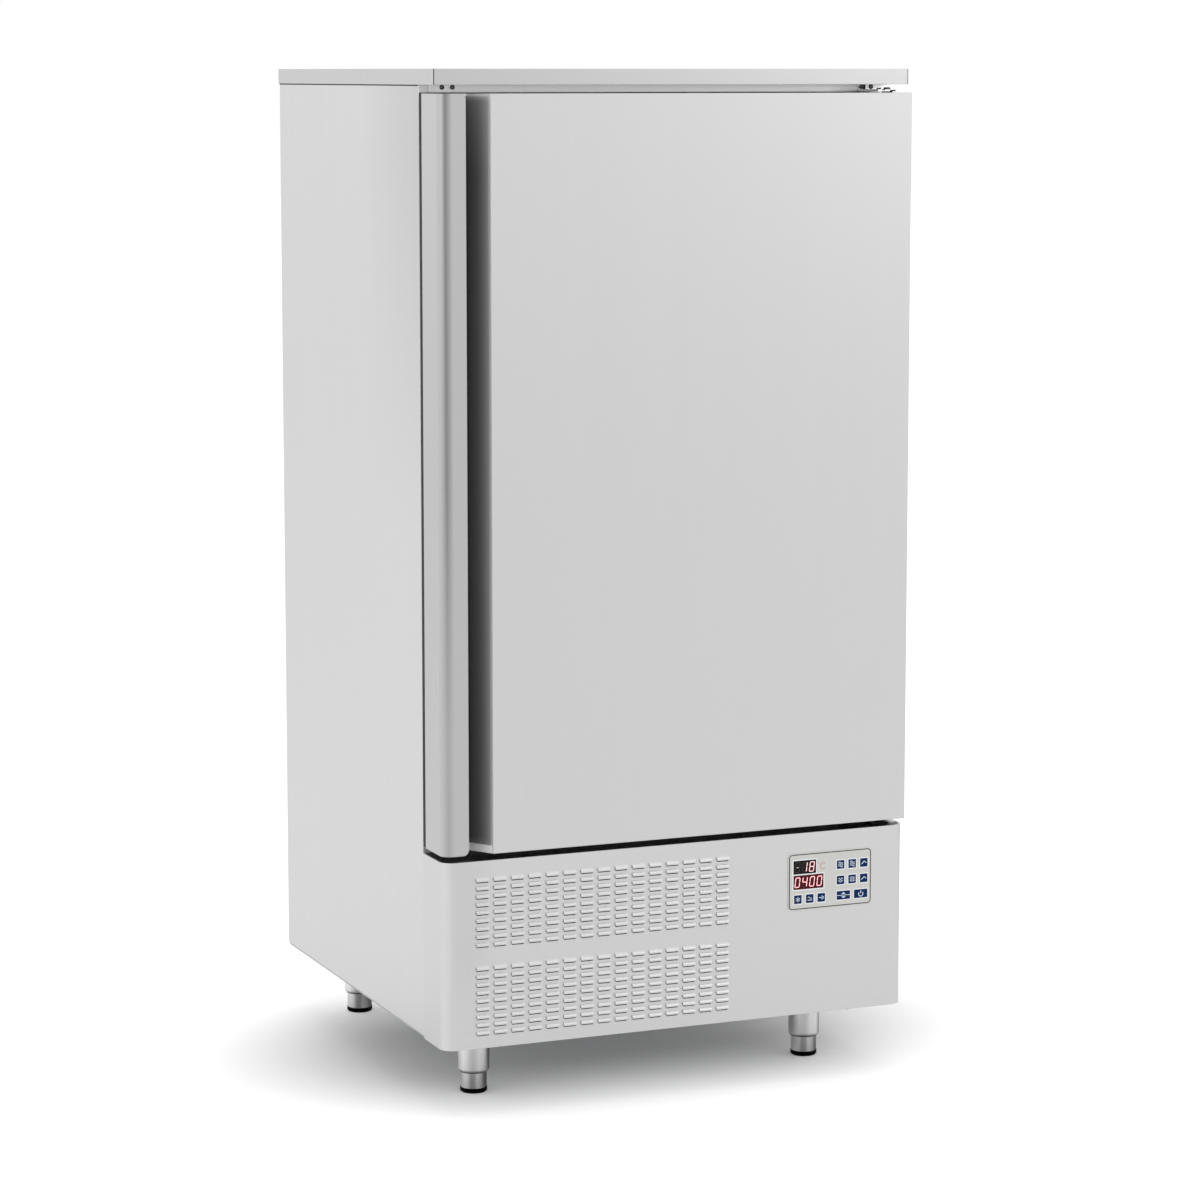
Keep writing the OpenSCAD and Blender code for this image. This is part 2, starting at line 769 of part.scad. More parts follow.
// Upright receiver with a foot ring
module liquid_receiver() {
  color("dimgray") translate([recv_x, recv_y, z_floor]) {
    translate([0, 0, 12]) rotate_extrude() intersection() {
      round_rect(-recv_r, 0, recv_r, recv_h, 24);
      rect(0, 0, recv_r, recv_h);
    }
    for (x = [-20, 20]) translate([x, 0, recv_h]) cylinder(h = 12 + stub_len, r = x < 0 ? liquid_r : tube_r);
    difference() {
      cylinder(h = 26, r = recv_r * 0.8);
      translate([0, 0, -1]) cylinder(h = 14, r = recv_r * 0.8 - 3);
    }
  }
}

// Filter drier in the liquid line
module filter_drier() {
  color("peru") translate([drier_x0, recv_y, drier_z]) rotate([0, 90, 0]) {
    length = drier_x1 - drier_x0;
    neck = 12;
    translate([0, 0, neck]) cylinder(h = length - 2 * neck, r = drier_r);
    cylinder(h = neck, r1 = liquid_r + 1, r2 = drier_r);
    translate([0, 0, length - neck]) cylinder(h = neck, r1 = drier_r, r2 = liquid_r + 1);
  }
}

// Copper lines: discharge, condenser to receiver, liquid and suction
module refrigerant_pipes() {
  stub_x = comp_x + comp_r + 20;
  stub_z = z_floor + comp_stub;
  port_z = coil_top(cond_z0, cond_z1, cond_rows);
  port_x = cond_x1 + 6;
  evap_z = coil_top(evap_z0, evap_z1, evap_rows);
  evap_x = evap_half + 6;
  far_y = coil_far(cond_y0, cond_y1);
  near_y = coil_near(cond_y0, cond_y1);
  recv_z = z_floor + 12 + recv_h + stub_len;
  high_z = z_ceiling - 16;
  up_x = stub_x + 42;
  in_x = recv_x + 20;
  out_x = recv_x - 20;
  down_x = port_x + 34;
  color("peru") {
    pipe([[stub_x, comp_y - 20, stub_z], [up_x, comp_y - 20, stub_z], [up_x, comp_y - 20, high_z],
      [down_x, comp_y - 20, high_z], [down_x, far_y, high_z], [down_x, far_y, port_z],
      [port_x, far_y, port_z]], tube_r);
    pipe([[port_x, near_y, port_z], [in_x, near_y, port_z], [in_x, recv_y, port_z],
      [in_x, recv_y, recv_z]], tube_r);
    pipe([[out_x, recv_y, recv_z], [out_x, recv_y, drier_z], [drier_x0, recv_y, drier_z]], liquid_r);
    pipe([[drier_x1, recv_y, drier_z], [line_x, recv_y, drier_z], [line_x, line_y0, drier_z],
      [line_x, line_y0, evap_z], [evap_x, line_y0, evap_z]], liquid_r);
    pipe([[evap_x, line_y1, evap_z], [line_x, line_y1, evap_z], [line_x, line_y1, suction_z],
      [line_x, comp_y + 20, suction_z], [stub_x + 32, comp_y + 20, suction_z],
      [stub_x + 32, comp_y + 20, stub_z], [stub_x, comp_y + 20, stub_z]], suction_r);
  }
}

// Housing of the electronics behind the control panel, open at the front
module control_box() {
  x = panel_w / 2 + 6;
  z = panel_h / 2 + 6;
  wall = 1.5;
  box_d = 75;
  color("dimgray") difference() {
    block(pan_x - x, y_front + sheet, pan_z - z, pan_x + x, y_front + box_d, pan_z + z);
    block(pan_x - x + wall, y_front, pan_z - z + wall,
      pan_x + x - wall, y_front + box_d - wall, pan_z + z - wall);
  }
}

// Front plate of the control panel, with a window for each key and display
module control_panel() {
  x = panel_w / 2;
  z = panel_h / 2;
  x1 = x - frame_in;
  z1 = z - frame_in;
  color("lightgray") translate([pan_x, 0, pan_z]) {
    along_y(y_front - panel_t, y_front) difference() {
      round_rect(-x, -z, x, z, pan_r);
      for (k = KEYS) translate([k[0], k[1]]) square([k[2] + 2 * gap, key_h + 2 * gap], center = true);
      for (d = DISPLAYS) translate([d[0], d[1]]) square([d[2], d[3]], center = true);
    }
    along_y(y_front, y_front + frame_d) difference() {
      rect(-x1, -z1, x1, z1);
      rect(-x1 + frame_wall, -z1 + frame_wall, x1 - frame_wall, z1 - frame_wall);
    }
  }
}

// Circuit board on the frame's back, with the two displays that fill their windows
module display_board() {
  x1 = panel_w / 2 - frame_in;
  z1 = panel_h / 2 - frame_in;
  color("black") translate([pan_x, 0, pan_z]) {
    along_y(y_front + frame_d, y_front + frame_d + board_t) rect(-x1, -z1, x1, z1);
    for (d = DISPLAYS) translate([d[0], 0, d[1]]) along_y(y_front - panel_t + gap, y_front + frame_d)
      square([d[2] - 2 * gap, d[3] - 2 * gap], center = true);
  }
}

// One key: its cap in the window, its flange behind the plate and its plunger
module key(i) {
  k = KEYS[i];
  flange_t = 1.5;
  y1 = y_front + gap + flange_t;
  color("midnightblue") translate([pan_x + k[0], 0, pan_z + k[1]]) {
    along_y(y_front - panel_t - key_proud, y_front + gap) square([k[2], key_h], center = true);
    along_y(y_front + gap, y1) square([k[2] + 2 * key_flange, key_h + 2 * key_flange], center = true);
    along_y(y1, y_front + frame_d - key_travel - gap) circle(2);
  }
}

module key_left_1() { key(0); }
module key_left_2() { key(1); }
module key_left_3() { key(2); }
module key_top_1() { key(3); }
module key_top_2() { key(4); }
module key_top_3() { key(5); }
module key_mid_1() { key(6); }
module key_mid_2() { key(7); }
module key_mid_3() { key(8); }
module key_arrows() { key(9); }
module key_power() { key(10); }

// Removable racks: posts, angle runners for the trays and pins to the liner
module tray_racks() {
  y0 = tray_y0 - 5;
  y1 = tray_y1 + 8;
  z0 = cham_z0 + post_end_low;
  posts = [y0 + 20, y1 - 20 - post_s];
  pin_x = post_x0 + post_s + weld;
  color("silver") for (side = [0, 1]) mirror([side, 0, 0]) {
    for (y = posts) {
      block(post_x0, y, z0, post_x0 + post_s, y + post_s, rack_top);
      for (z = [z0 + 48, rack_top - 40]) translate([pin_x, y + post_s / 2, z])
        rotate([0, 90, 0]) cylinder(h = cham_x - pin_x, r = 4);
    }
    for (i = [0 : levels - 1]) along_y(y0, y1) translate([0, cham_z0 + level_low + i * level_pitch]) {
      rect(rack_x0 - runner_w, 0, rack_x1, runner_t);
      rect(rack_x0, 0, rack_x1, runner_lip);
    }
  }
}

// Wire shelf on the runners of one level
module wire_shelf(i) {
  z = cham_z0 + level_low + shelf_levels[i] * level_pitch + runner_t + gap + frame_r;
  x = tray_w / 2 - frame_r;
  y0 = tray_y0 + frame_r;
  y1 = tray_y1 - frame_r;
  pitch = 2 * x / (shelf_wires + 1);
  color("silver") translate([0, 0, z]) {
    for (y = [y0, y1]) translate([-x, y, 0]) rotate([0, 90, 0]) cylinder(h = 2 * x, r = frame_r);
    for (s = [-x, x]) {
      translate([s, y0, 0]) rotate([-90, 0, 0]) cylinder(h = y1 - y0, r = frame_r);
      for (y = [y0, y1]) translate([s, y, 0]) sphere(frame_r);
    }
    for (y = [0.33, 0.67]) translate([-x, y0 + (y1 - y0) * y, 0]) rotate([0, 90, 0])
      cylinder(h = 2 * x, r = frame_r - 0.8);
    for (j = [1 : shelf_wires]) translate([-x + j * pitch, y0, 0]) rotate([-90, 0, 0])
      cylinder(h = y1 - y0, r = wire_r);
  }
}

module wire_shelf_upper() { wire_shelf(0); }
module wire_shelf_middle() { wire_shelf(1); }
module wire_shelf_lower() { wire_shelf(2); }

// Food probe in its clip on the right wall, with its lead to the back
module core_probe() {
  x = cham_x - probe_in;
  y = y_body + probe_back;
  z = cham_z0 + probe_up;
  grip_r = 7;
  grip_h = 70;
  lead_z = cham_z1 - probe_in;
  color("dimgray") {
    translate([x, y, z]) cylinder(h = grip_h, r = grip_r);
    translate([x, y, z - needle_len]) cylinder(h = needle_len, r = 2);
    translate([x, y, z - needle_len - 8]) cylinder(h = 8, r1 = 0.2, r2 = 2);
    for (h = [12, grip_h - 20]) block(x + 2, y - 4, z + h, cham_x, y + 4, z + h + 8);
    pipe([[x, y, z + grip_h], [x, y, lead_z], [x, cham_y1, lead_z]], 2);
  }
}

// Drain of the chamber floor, down to a hose spigot under the chassis
module drain_pipe() {
  spigot_z = leg_h - 5;
  flange_t = 1.5;
  color("lightgray") translate([drain_x, drain_y, 0]) difference() {
    union() {
      translate([0, 0, spigot_z]) cylinder(h = cham_z0 - spigot_z, r = drain_r);
      translate([0, 0, spigot_z - spigot_len]) cylinder(h = spigot_len, r = spigot_r);
      translate([0, 0, cham_z0]) cylinder(h = flange_t, r = drain_r + 6);
    }
    translate([0, 0, spigot_z - spigot_len - 1])
      cylinder(h = cham_z0 + flange_t + 2 - spigot_z + spigot_len, r = spigot_r - 2);
  }
}

// Inlet gland for the supply cable, through the chassis
module cable_gland() {
  nut_r = 14;
  low = z_chassis - 27;
  high = z_floor + 11;
  color("black") translate([gland_x, gland_y, 0]) difference() {
    union() {
      translate([0, 0, low]) cylinder(h = 19, r1 = 10, r2 = 12);
      translate([0, 0, z_chassis - 8]) cylinder(h = 8, r = nut_r, $fn = 6);
      translate([0, 0, z_chassis]) cylinder(h = high - z_chassis, r = gland_thread_r);
      translate([0, 0, z_floor]) cylinder(h = 5, r = nut_r, $fn = 6);
    }
    translate([0, 0, low - 1]) cylinder(h = high - low + 2, r = gland_bore);
  }
}

// Hinge brackets on the body, each with its pin and collar
module bracket_plate(z0) {
  x1 = half_w - bracket_in;
  block(x1 - bracket_w, pivot_y - bracket_front, z0, x1, y_body, z0 + bracket_t);
}

module hinge_bracket_top() {
  z0 = z_door1 + top_collar;
  x1 = half_w - bracket_in;
  color("silver") {
    bracket_plate(z0);
    block(x1 - bracket_w, y_body - bracket_t, z0, x1, y_body, z_body - seam);
    translate([pivot_x, pivot_y, z_door1 + gap]) cylinder(h = z0 - z_door1 - gap, r = collar_r);
    translate([pivot_x, pivot_y, z_door1 - pin_len]) cylinder(h = pin_len + top_collar, r = pin_r);
  }
}

module hinge_bracket_bottom() {
  z1 = z_base + bracket_t;
  color("silver") {
    bracket_plate(z_base);
    translate([pivot_x, pivot_y, z1]) cylinder(h = z_door0 - gap - z1, r = collar_r);
    translate([pivot_x, pivot_y, z1]) cylinder(h = z_door0 + pin_len - z1, r = pin_r);
  }
}

// Screws: the brackets', the two that plug the spare bracket's holes, the base front's
module body_screws() {
  z = z_door1 + top_collar + bracket_t + 4;
  x0 = half_w - bracket_in - bracket_w + bracket_screw_in;
  base_pitch = (half_w - 96) / 1.5;
  color("gray") {
    for (x = [x0, x0 + bracket_screw_pitch]) {
      translate([bracket_screw_pitch / 2 - x, y_body, z]) rotate([90, 0, 0]) screw_head(3.6);
      translate([x, y_body - bracket_t, z]) rotate([90, 0, 0]) screw_head(3.6);
      for (y = [y_body - 12, y_body - 30]) translate([x, y, z_base + bracket_t]) screw_head(3.6);
    }
    for (i = [-1.5 : 1.5]) translate([i * base_pitch, y_front + 10, leg_h])
      rotate([180, 0, 0]) screw_head(4.5);
  }
}

// Low pan head with a hexagon socket
module screw_head(r) {
  difference() {
    union() {
      cylinder(h = 1.4, r = r);
      translate([0, 0, 1.4]) cylinder(h = 1, r1 = r, r2 = r - 1.2);
    }
    translate([0, 0, 0.8]) cylinder(h = 3, r = r * 0.5, $fn = 6);
  }
}

// Fixed leg tubes, closed at the top by the plate that takes the foot's stud
module leg_tubes() {
  chamfer = 2.7;
  color("silver") for (p = LEGS) translate([p[0], p[1], 0]) rotate_extrude() difference() {
    polygon([
      [0, leg_low], [leg_r - chamfer, leg_low], [leg_r - chamfer * 0.3, leg_low + chamfer],
      [leg_r, leg_low + chamfer * 2], [leg_r, z_chassis], [0, z_chassis]
    ]);
    rect(-1, leg_low - 1, leg_r - leg_wall, z_chassis - nut_t);
    rect(-1, leg_low - 1, stud_r + gap, z_chassis + 1);
  }
}

// Screw foot: a closed tube on a rubber pad, with its stud up through the leg
module foot(i) {
  stud_top = z_chassis + foot_travel + 2;
  tube_top = z_chassis - nut_t - 18;
  color("silver") translate([LEGS[i][0], LEGS[i][1], 0]) rotate_extrude() difference() {
    union() {
      polygon([
        [0, 0], [foot_r - 1.5, 0], [foot_r + pad_more, 2], [foot_r + pad_more, pad_h], [foot_r, pad_h],
        [foot_r, tube_top], [0, tube_top]
      ]);
      rect(0, tube_top - 1, stud_r, stud_top);
    }
    rect(stud_r + 2, pad_h + 3, foot_r - 2.5, tube_top + 1);
  }
}

module foot_front_left() { foot(0); }
module foot_front_right() { foot(1); }
module foot_rear_left() { foot(2); }
module foot_rear_right() { foot(3); }

// X of the recess's sloping side, grown by g, at the given Y
function slope_len() = norm([recess_depth, recess_slope]);
function slope_at(y, g) = recess_x1 + (g * slope_len() - recess_slope * (y - y_front)) / recess_depth;

// Open finger recess in plan, its floor and slope grown by g
module recess_outline(g) {
  y1 = recess_y + g;
  polygon([
    [handle_x1, y_front - 1], [slope_at(y_front, g), y_front - 1], [slope_at(y_front, g), y_front],
    [slope_at(y1, g), y1], [recess_x0 - min(g, 0), y1], [recess_x0 - min(g, 0), lip_y], [handle_x1, lip_y]
  ]);
}

// The whole door in plan, without the recess
module door_outline(inset) {
  front_round_rect(handle_x0 + inset, y_front + inset, half_w - inset, y_door,
    handle_r - inset, skin_edge_r - inset);
}

// The handle profile in plan: a hollow lip and the door's left edge
module handle_outline(inset, back) {
  difference() {
    door_outline(inset);
    rect(handle_x1 - inset, y_front - 1, half_w + 1, y_door + 1);
    rect(recess_x0 - inset, lip_y - inset, half_w + 1, y_door + 1);
    rect(handle_x0 + handle_wall, back, half_w + 1, y_door + 2);
  }
}

// Front skin of the door, folded into the recess and round the other three edges
module door_skin() {
  color("gainsboro") {
    difference() {
      along_z(z_door0, z_door1) skin_area();
      along_z(z_door0 + sheet, z_door1 - sheet) difference() {
        door_outline(sheet);
        skin_cut(sheet);
      }
      block(-half_w, y_door - 1, z_door0 + sheet, half_w - sheet, y_door + 1, z_door1 - sheet);
      bush_holes();
    }
  }
}

module skin_area() {
  difference() {
    door_outline(0);
    skin_cut(0);
  }
}

// What the recess and the handle take from the door's outline
module skin_cut(g) {
  recess_outline(g);
  rect(handle_x0 - 1, y_front - 1, recess_x0, y_door + 1);
  rect(handle_x0 - 1, y_front - 1, handle_x1, lip_y);
}

module bush_holes() {
  h = pin_len + 5;
  for (z = [z_door0 - 1, z_door1 - h])
    translate([pivot_x, pivot_y, z]) cylinder(h = h + 1, r = bush_r + 0.2);
}

// Handle with closed ends; the lip's two free corners are rounded
module door_handle() {
  c = handle_corner;
  fill = c + handle_wall;
  color("gainsboro") difference() {
    union() {
      difference() {
        along_z(z_door0, z_door1) handle_outline(0, y_door - sheet);
        along_z(z_door0 + handle_wall, z_door1 - handle_wall) handle_outline(handle_wall, y_door + 1);
        block(handle_x0 + handle_wall, y_door - 1 - sheet, z_door0 + handle_wall,
          recess_x0 - handle_wall, y_door + 1, z_door1 - handle_wall);
      }
      for (z = [z_door0 + fill / 2, z_door1 - fill / 2])
        block(handle_x1 - fill, y_front, z - fill / 2, handle_x1, lip_y, z + fill / 2);
    }
    along_y(y_front - 1, lip_y + 1) for (end = [0, 1])
      translate([handle_x1, end == 0 ? z_door0 : z_door1]) mirror([0, end]) difference() {
        rect(-c, -1, 1, c);
        translate([-c, c]) circle(c);
      }
  }
}

// Dark moulded liner of the finger recess
module grip_liner() {
  color([0.2, 0.2, 0.21]) along_z(z_door0 + grip_low, z_door1 - grip_top) difference() {
    recess_outline(0);
    recess_outline(-grip_t);
    rect(handle_x1 - 1, y_front - 2, recess_x1 + 1, y_front + 2);
  }
}

// Raised field of the door's inner panel
module emboss_outline(inset) {
  edge = seal_inset + 40 + inset;
  round_rect(-half_w + edge, z_door0 + edge, half_w - edge, z_door1 - edge, 25 - inset);
}

module door_liner() {
  end = max(sheet, handle_wall);
  color("silver") difference() {
    union() {
      block(handle_x0 + handle_wall, y_door - sheet, z_door0 + end, half_w - sheet, y_door, z_door1 - end);
      along_y(y_door, y_door + emboss) emboss_outline(0);
    }
    along_y(y_door - sheet - 1, y_door + emboss - sheet) emboss_outline(sheet);
  }
}

// Foam core of the door
module door_insulation() {
  color("khaki") difference() {
    union() {
      along_z(z_door0 + sheet, z_door1 - sheet) difference() {
        door_outline(sheet);
        skin_cut(sheet);
        rect(-half_w, y_door - sheet, half_w, y_door + 1);
      }
      along_y(y_door - sheet - 1, y_door + emboss - sheet) emboss_outline(sheet);
    }
    bush_holes();
  }
}

// Magnetic seal: base strip, narrow bellows and head, stopping just short of the body
module door_gasket() {
  color("dimgray") {
    seal_ring(y_door, y_door + 3, 0, seal_w);
    seal_ring(y_door + 3, y_door + 7, 5, seal_w - 5);
    seal_ring(y_door + 7, y_body - gap, 1, seal_w - 1);
  }
}

module seal_ring(y0, y1, from, to) {
  along_y(y0, y1) difference() {
    seal_outline(from);
    seal_outline(to);
  }
}

module seal_outline(inset) {
  edge = seal_inset + inset;
  round_rect(-half_w + edge, z_door0 + edge, half_w - edge, z_door1 - edge, 26 - inset);
}

// Bushes of the two hinge pins, in the door
module hinge_bushes() {
  h = pin_len + 4;
  color("white") for (z = [z_door0, z_door1 - h]) translate([pivot_x, pivot_y, z]) difference() {
    cylinder(h = h, r = bush_r);
    translate([0, 0, -1]) cylinder(h = h + 2, r = pin_r + run_gap);
  }
}

side_panel_left();
side_panel_right();
back_panel();
worktop();
front_frame();
cabinet_insulation();
chamber_liner();
deck_plate();
chassis_tray();
base_front_panel();
rear_grille();
compressor();
condenser_coil();
condenser_shroud();
condenser_fan_motor();
liquid_receiver();
filter_drier();
refrigerant_pipes();
control_box();
control_panel();
display_board();
evaporator_coil();
fan_baffle();
evaporator_fan_motors();
tray_racks();
core_probe();
drain_pipe();
cable_gland();
hinge_bracket_top();
hinge_bracket_bottom();
body_screws();
leg_tubes();
foot_front_left();
foot_front_right();
foot_rear_left();
foot_rear_right();
condenser_fan_blade();
evaporator_fan_upper();
evaporator_fan_lower();
wire_shelf_upper();
wire_shelf_middle();
wire_shelf_lower();
key_left_1();
key_left_2();
key_left_3();
key_top_1();
key_top_2();
key_top_3();
key_mid_1();
key_mid_2();
key_mid_3();
key_arrows();
key_power();
door_skin();
door_handle();
grip_liner();
door_liner();
door_insulation();
door_gasket();
hinge_bushes();
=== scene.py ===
import math

import bmesh
import bpy
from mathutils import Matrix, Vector


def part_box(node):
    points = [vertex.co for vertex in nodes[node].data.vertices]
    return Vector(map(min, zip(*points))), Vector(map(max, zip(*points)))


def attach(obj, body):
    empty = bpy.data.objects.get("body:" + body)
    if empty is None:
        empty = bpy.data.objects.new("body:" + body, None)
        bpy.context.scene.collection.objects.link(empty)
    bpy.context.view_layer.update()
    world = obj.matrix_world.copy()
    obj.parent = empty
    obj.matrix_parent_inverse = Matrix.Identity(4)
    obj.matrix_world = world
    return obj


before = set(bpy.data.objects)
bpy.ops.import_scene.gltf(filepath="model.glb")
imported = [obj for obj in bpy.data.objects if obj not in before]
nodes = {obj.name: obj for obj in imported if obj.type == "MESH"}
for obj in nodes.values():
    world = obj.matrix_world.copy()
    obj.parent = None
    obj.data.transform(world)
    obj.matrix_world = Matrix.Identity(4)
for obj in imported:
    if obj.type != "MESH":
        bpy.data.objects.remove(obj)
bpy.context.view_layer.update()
scene = bpy.context.scene
scene.view_settings.view_transform = "Standard"

MM = 0.001

# Camera, at the photograph's viewing angle

CAMERA_PLACE = (-2.3236, -5.6021, 1.6073)
CAMERA_PITCH = 7.202
CAMERA_YAW = 22.744
CAMERA_LENS = 111.14
CAMERA_SENSOR = 36
CAMERA_RISE = -0.05


def make_camera():
    data = bpy.data.cameras.new("camera")
    data.sensor_width = CAMERA_SENSOR
    data.lens = CAMERA_LENS
    data.shift_y = CAMERA_RISE
    camera = bpy.data.objects.new("camera", data)
    camera.location = CAMERA_PLACE
    camera.rotation_euler = (math.radians(90 - CAMERA_PITCH), 0, math.radians(-CAMERA_YAW))
    scene.collection.objects.link(camera)
    scene.camera = camera


make_camera()

# Node trees

NOISE_LOW, NOISE_HIGH = 0.3, 0.7  # nearly all of a noise lies between these
BEVEL_SAMPLES = 4


def grey(level):
    return (level, level, level)


def scaled(colour, factor):
    return tuple(channel * factor for channel in colour)


class Nodes:
    """A node tree with short ways to add nodes and to reckon with their values."""

    def __init__(self, tree):
        self.tree = tree

    def fill(self, node, **values):
        for key, value in values.items():
            node.inputs[key.replace("_", " ")].default_value = value

    def add(self, kind, **values):
        node = self.tree.nodes.new("ShaderNode" + kind)
        self.fill(node, **values)
        return node

    def link(self, source, target):
        self.tree.links.new(source, target)

    def spread(self, value, from_low, from_high, to_low, to_high, kind="LINEAR"):
        """A value led from one range to another, and held at its ends."""
        node = self.add("MapRange", From_Min=from_low, From_Max=from_high, To_Min=to_low,
                        To_Max=to_high)
        node.interpolation_type = kind
        self.link(value, node.inputs["Value"])
        return node.outputs["Result"]

    def maths(self, operation, a, b=0):
        node = self.add("Math")
        node.operation = operation
        for socket, value in zip(node.inputs, (a, b)):
            if isinstance(value, (int, float)):
                socket.default_value = value
            else:
                self.link(value, socket)
        return node.outputs["Value"]

    def chain(self, operation, total, *others):
        for other in others:
            total = self.maths(operation, total, other)
        return total

    def product(self, *shares):
        return self.chain("MULTIPLY", *shares)

    def highest(self, *shares):
        return self.chain("MAXIMUM", *shares)

    def above(self, value, limit):
        return self.maths("GREATER_THAN", value, limit)

    def below(self, value, limit):
        return self.maths("LESS_THAN", value, limit)

    def within(self, value, centre, half):
        """1 where a value is nearer to a centre than half."""
        return self.below(self.maths("ABSOLUTE", self.maths("SUBTRACT", value, centre)), half)

    def vector(self, operation, a, b=None):
        """The outputs of one step of vector maths, b being three numbers."""
        node = self.add("VectorMath")
        node.operation = operation
        self.link(a, node.inputs[0])
        if b:
            node.inputs[1].default_value = b
        return node.outputs

    def shown_to_eye(self, gloss_share=1.0):
        """1 for camera rays, and a share of that for glossy and transmission rays."""
        rays = self.add("LightPath").outputs
        shares = [self.product(rays[name], gloss_share)
                  for name in ("Is Glossy Ray", "Is Transmission Ray")]
        return self.highest(rays["Is Camera Ray"], *shares)


class Look(Nodes):
    """A material: one Principled shader and the nodes that feed it."""

    def __init__(self, name, metallic=0.0, roughness=0.5, specular=0.5):
        self.mat = bpy.data.materials.new(name)
        self.mat.use_nodes = True
        super().__init__(self.mat.node_tree)
        self.shader = self.tree.nodes["Principled BSDF"]
        self.fill(self.shader, Metallic=metallic, Roughness=roughness, Specular_IOR_Level=specular)
        self.place = self.add("TexCoord").outputs["Object"]

    def feed(self, socket, source):
        self.link(source, self.shader.inputs[socket])

    def axis(self, name):
        node = self.add("SeparateXYZ")
        self.link(self.place, node.inputs["Vector"])
        return node.outputs[name]

    def facing(self, across):
        """How far the surface faces a fixed direction of the frame, from -1 to 1."""
        normal = self.add("NewGeometry").outputs["Normal"]
        return self.vector("DOT_PRODUCT", normal, across)["Value"]

    def noise(self, stretch, detail=3.0, rough=0.55):
        """A noise with its scale along X, Y and Z, or one number for all three."""
        if isinstance(stretch, (int, float)):
            stretch = (stretch, stretch, stretch)
        mapping = self.add("Mapping", Scale=stretch)
        self.link(self.place, mapping.inputs["Vector"])
        node = self.add("TexNoise", Scale=1.0, Detail=detail, Roughness=rough)
        self.link(mapping.outputs["Vector"], node.inputs["Vector"])
        return node.outputs["Fac"]

    def cells(self, scale, output="Distance"):
        node = self.add("TexVoronoi", Scale=scale)
        self.link(self.place, node.inputs["Vector"])
        return node.outputs[output]

    def veil(self, noise, most):
        """A noise as a share, from none to a given most."""
        return self.spread(noise, NOISE_LOW, NOISE_HIGH, 0.0, most)

    def curve(self, value, stops):
        """A value led through stops of (place from 0 to 1, level)."""
        node = self.add("ValToRGB")
        ramp = node.color_ramp
        while len(ramp.elements) < len(stops):
            ramp.elements.new(1.0)
        for element, (place, level) in zip(ramp.elements, stops):
            element.position = place
            element.color = (*grey(level), 1)
        self.link(value, node.inputs["Fac"])
        return node.outputs["Color"]

    def mix(self, fac, a, b):
        """A colour between a and b, each three numbers or a socket."""
        node = self.add("Mix")
        node.data_type = "RGBA"
        self.link(fac, node.inputs["Factor"])
        colour_sockets = [s for s in node.inputs if s.type == "RGBA"]
        for socket, value in zip(colour_sockets, (a, b)):
            if isinstance(value, tuple):
                socket.default_value = (*value, 1)
            else:
                self.link(value, socket)
        return next(s for s in node.outputs if s.type == "RGBA")

    def colour(self, source):
        self.feed("Base Color", source)

    def rough(self, noise, low, high):
        self.feed("Roughness", self.spread(noise, NOISE_LOW, NOISE_HIGH, low, high))

    def bump(self, height, strength, distance, edge=0.0):
        """Bump from a height, over edges rounded by a radius."""
        node = self.add("Bump", Strength=strength, Distance=distance)
        self.link(height, node.inputs["Height"])
        if edge:
            bevel = self.add("Bevel", Radius=edge)
            bevel.samples = BEVEL_SAMPLES
            self.link(bevel.outputs["Normal"], node.inputs["Normal"])
        self.feed("Normal", node.outputs["Normal"])


# Light: a white surround, a large key from the front right, a fill and a soft top light

AMBIENT = 0.8
AIM = (0, 0, 0.8)
LAMPS = [  # name, place, size and power
    ("key", (3.2, -3.4, 2.6), 2.2, 26),
    ("fill", (-4.2, -1.8, 2.2), 2.4, 11),
    ("top", (0, -0.3, 4.6), 3.0, 16),
]


def make_world():
    """White for what the camera, gloss and glass see, and a plain grey level for the light."""
    world = bpy.data.worlds.new("studio")
    scene.world = world
    world.use_nodes = True
    world.node_tree.nodes.clear()
    sky = Nodes(world.node_tree)
    white = sky.add("Background", Color=(1, 1, 1, 1))
    level = sky.spread(sky.shown_to_eye(), 0, 1, AMBIENT, 1)
    sky.link(level, white.inputs["Strength"])
    sky.link(white.outputs["Background"], sky.add("OutputWorld").inputs["Surface"])


def area_light(name, place, size, power):
    data = bpy.data.lights.new(name, "AREA")
    data.shape = "SQUARE"
    data.size = size
    data.energy = power
    lamp = bpy.data.objects.new(name, data)
    lamp.location = place
    lamp.rotation_euler = (Vector(AIM) - Vector(place)).to_track_quat("-Z", "Y").to_euler()
    scene.collection.objects.link(lamp)


make_world()
for lamp_values in LAMPS:
    area_light(*lamp_values)

# Floor, and a dark card that only reflections see

FLOOR_TONE = 0.8
FLOOR_HALF = 40
SHADOW_CORE = 0.09
SHADOW_REACH = 0.5
SHADOW_HALF = 0.27
GLOW_NEAR = 0.045
GLOW_FAR = 0.5
GLOSS_SHARE = 0.45
CARD_TONE = 0.12
CARD_ENDS = ((1.9, 0.3), (1.5, 1.1))
CARD_LOW, CARD_HIGH = 0.02, 2.4


def flat_panel(name, corners, material):
    mesh = bpy.data.meshes.new(name)
    mesh.from_pydata(corners, [], [range(len(corners))])
    mesh.materials.append(material)
    panel = bpy.data.objects.new(name, mesh)
    scene.collection.objects.link(panel)
    return panel


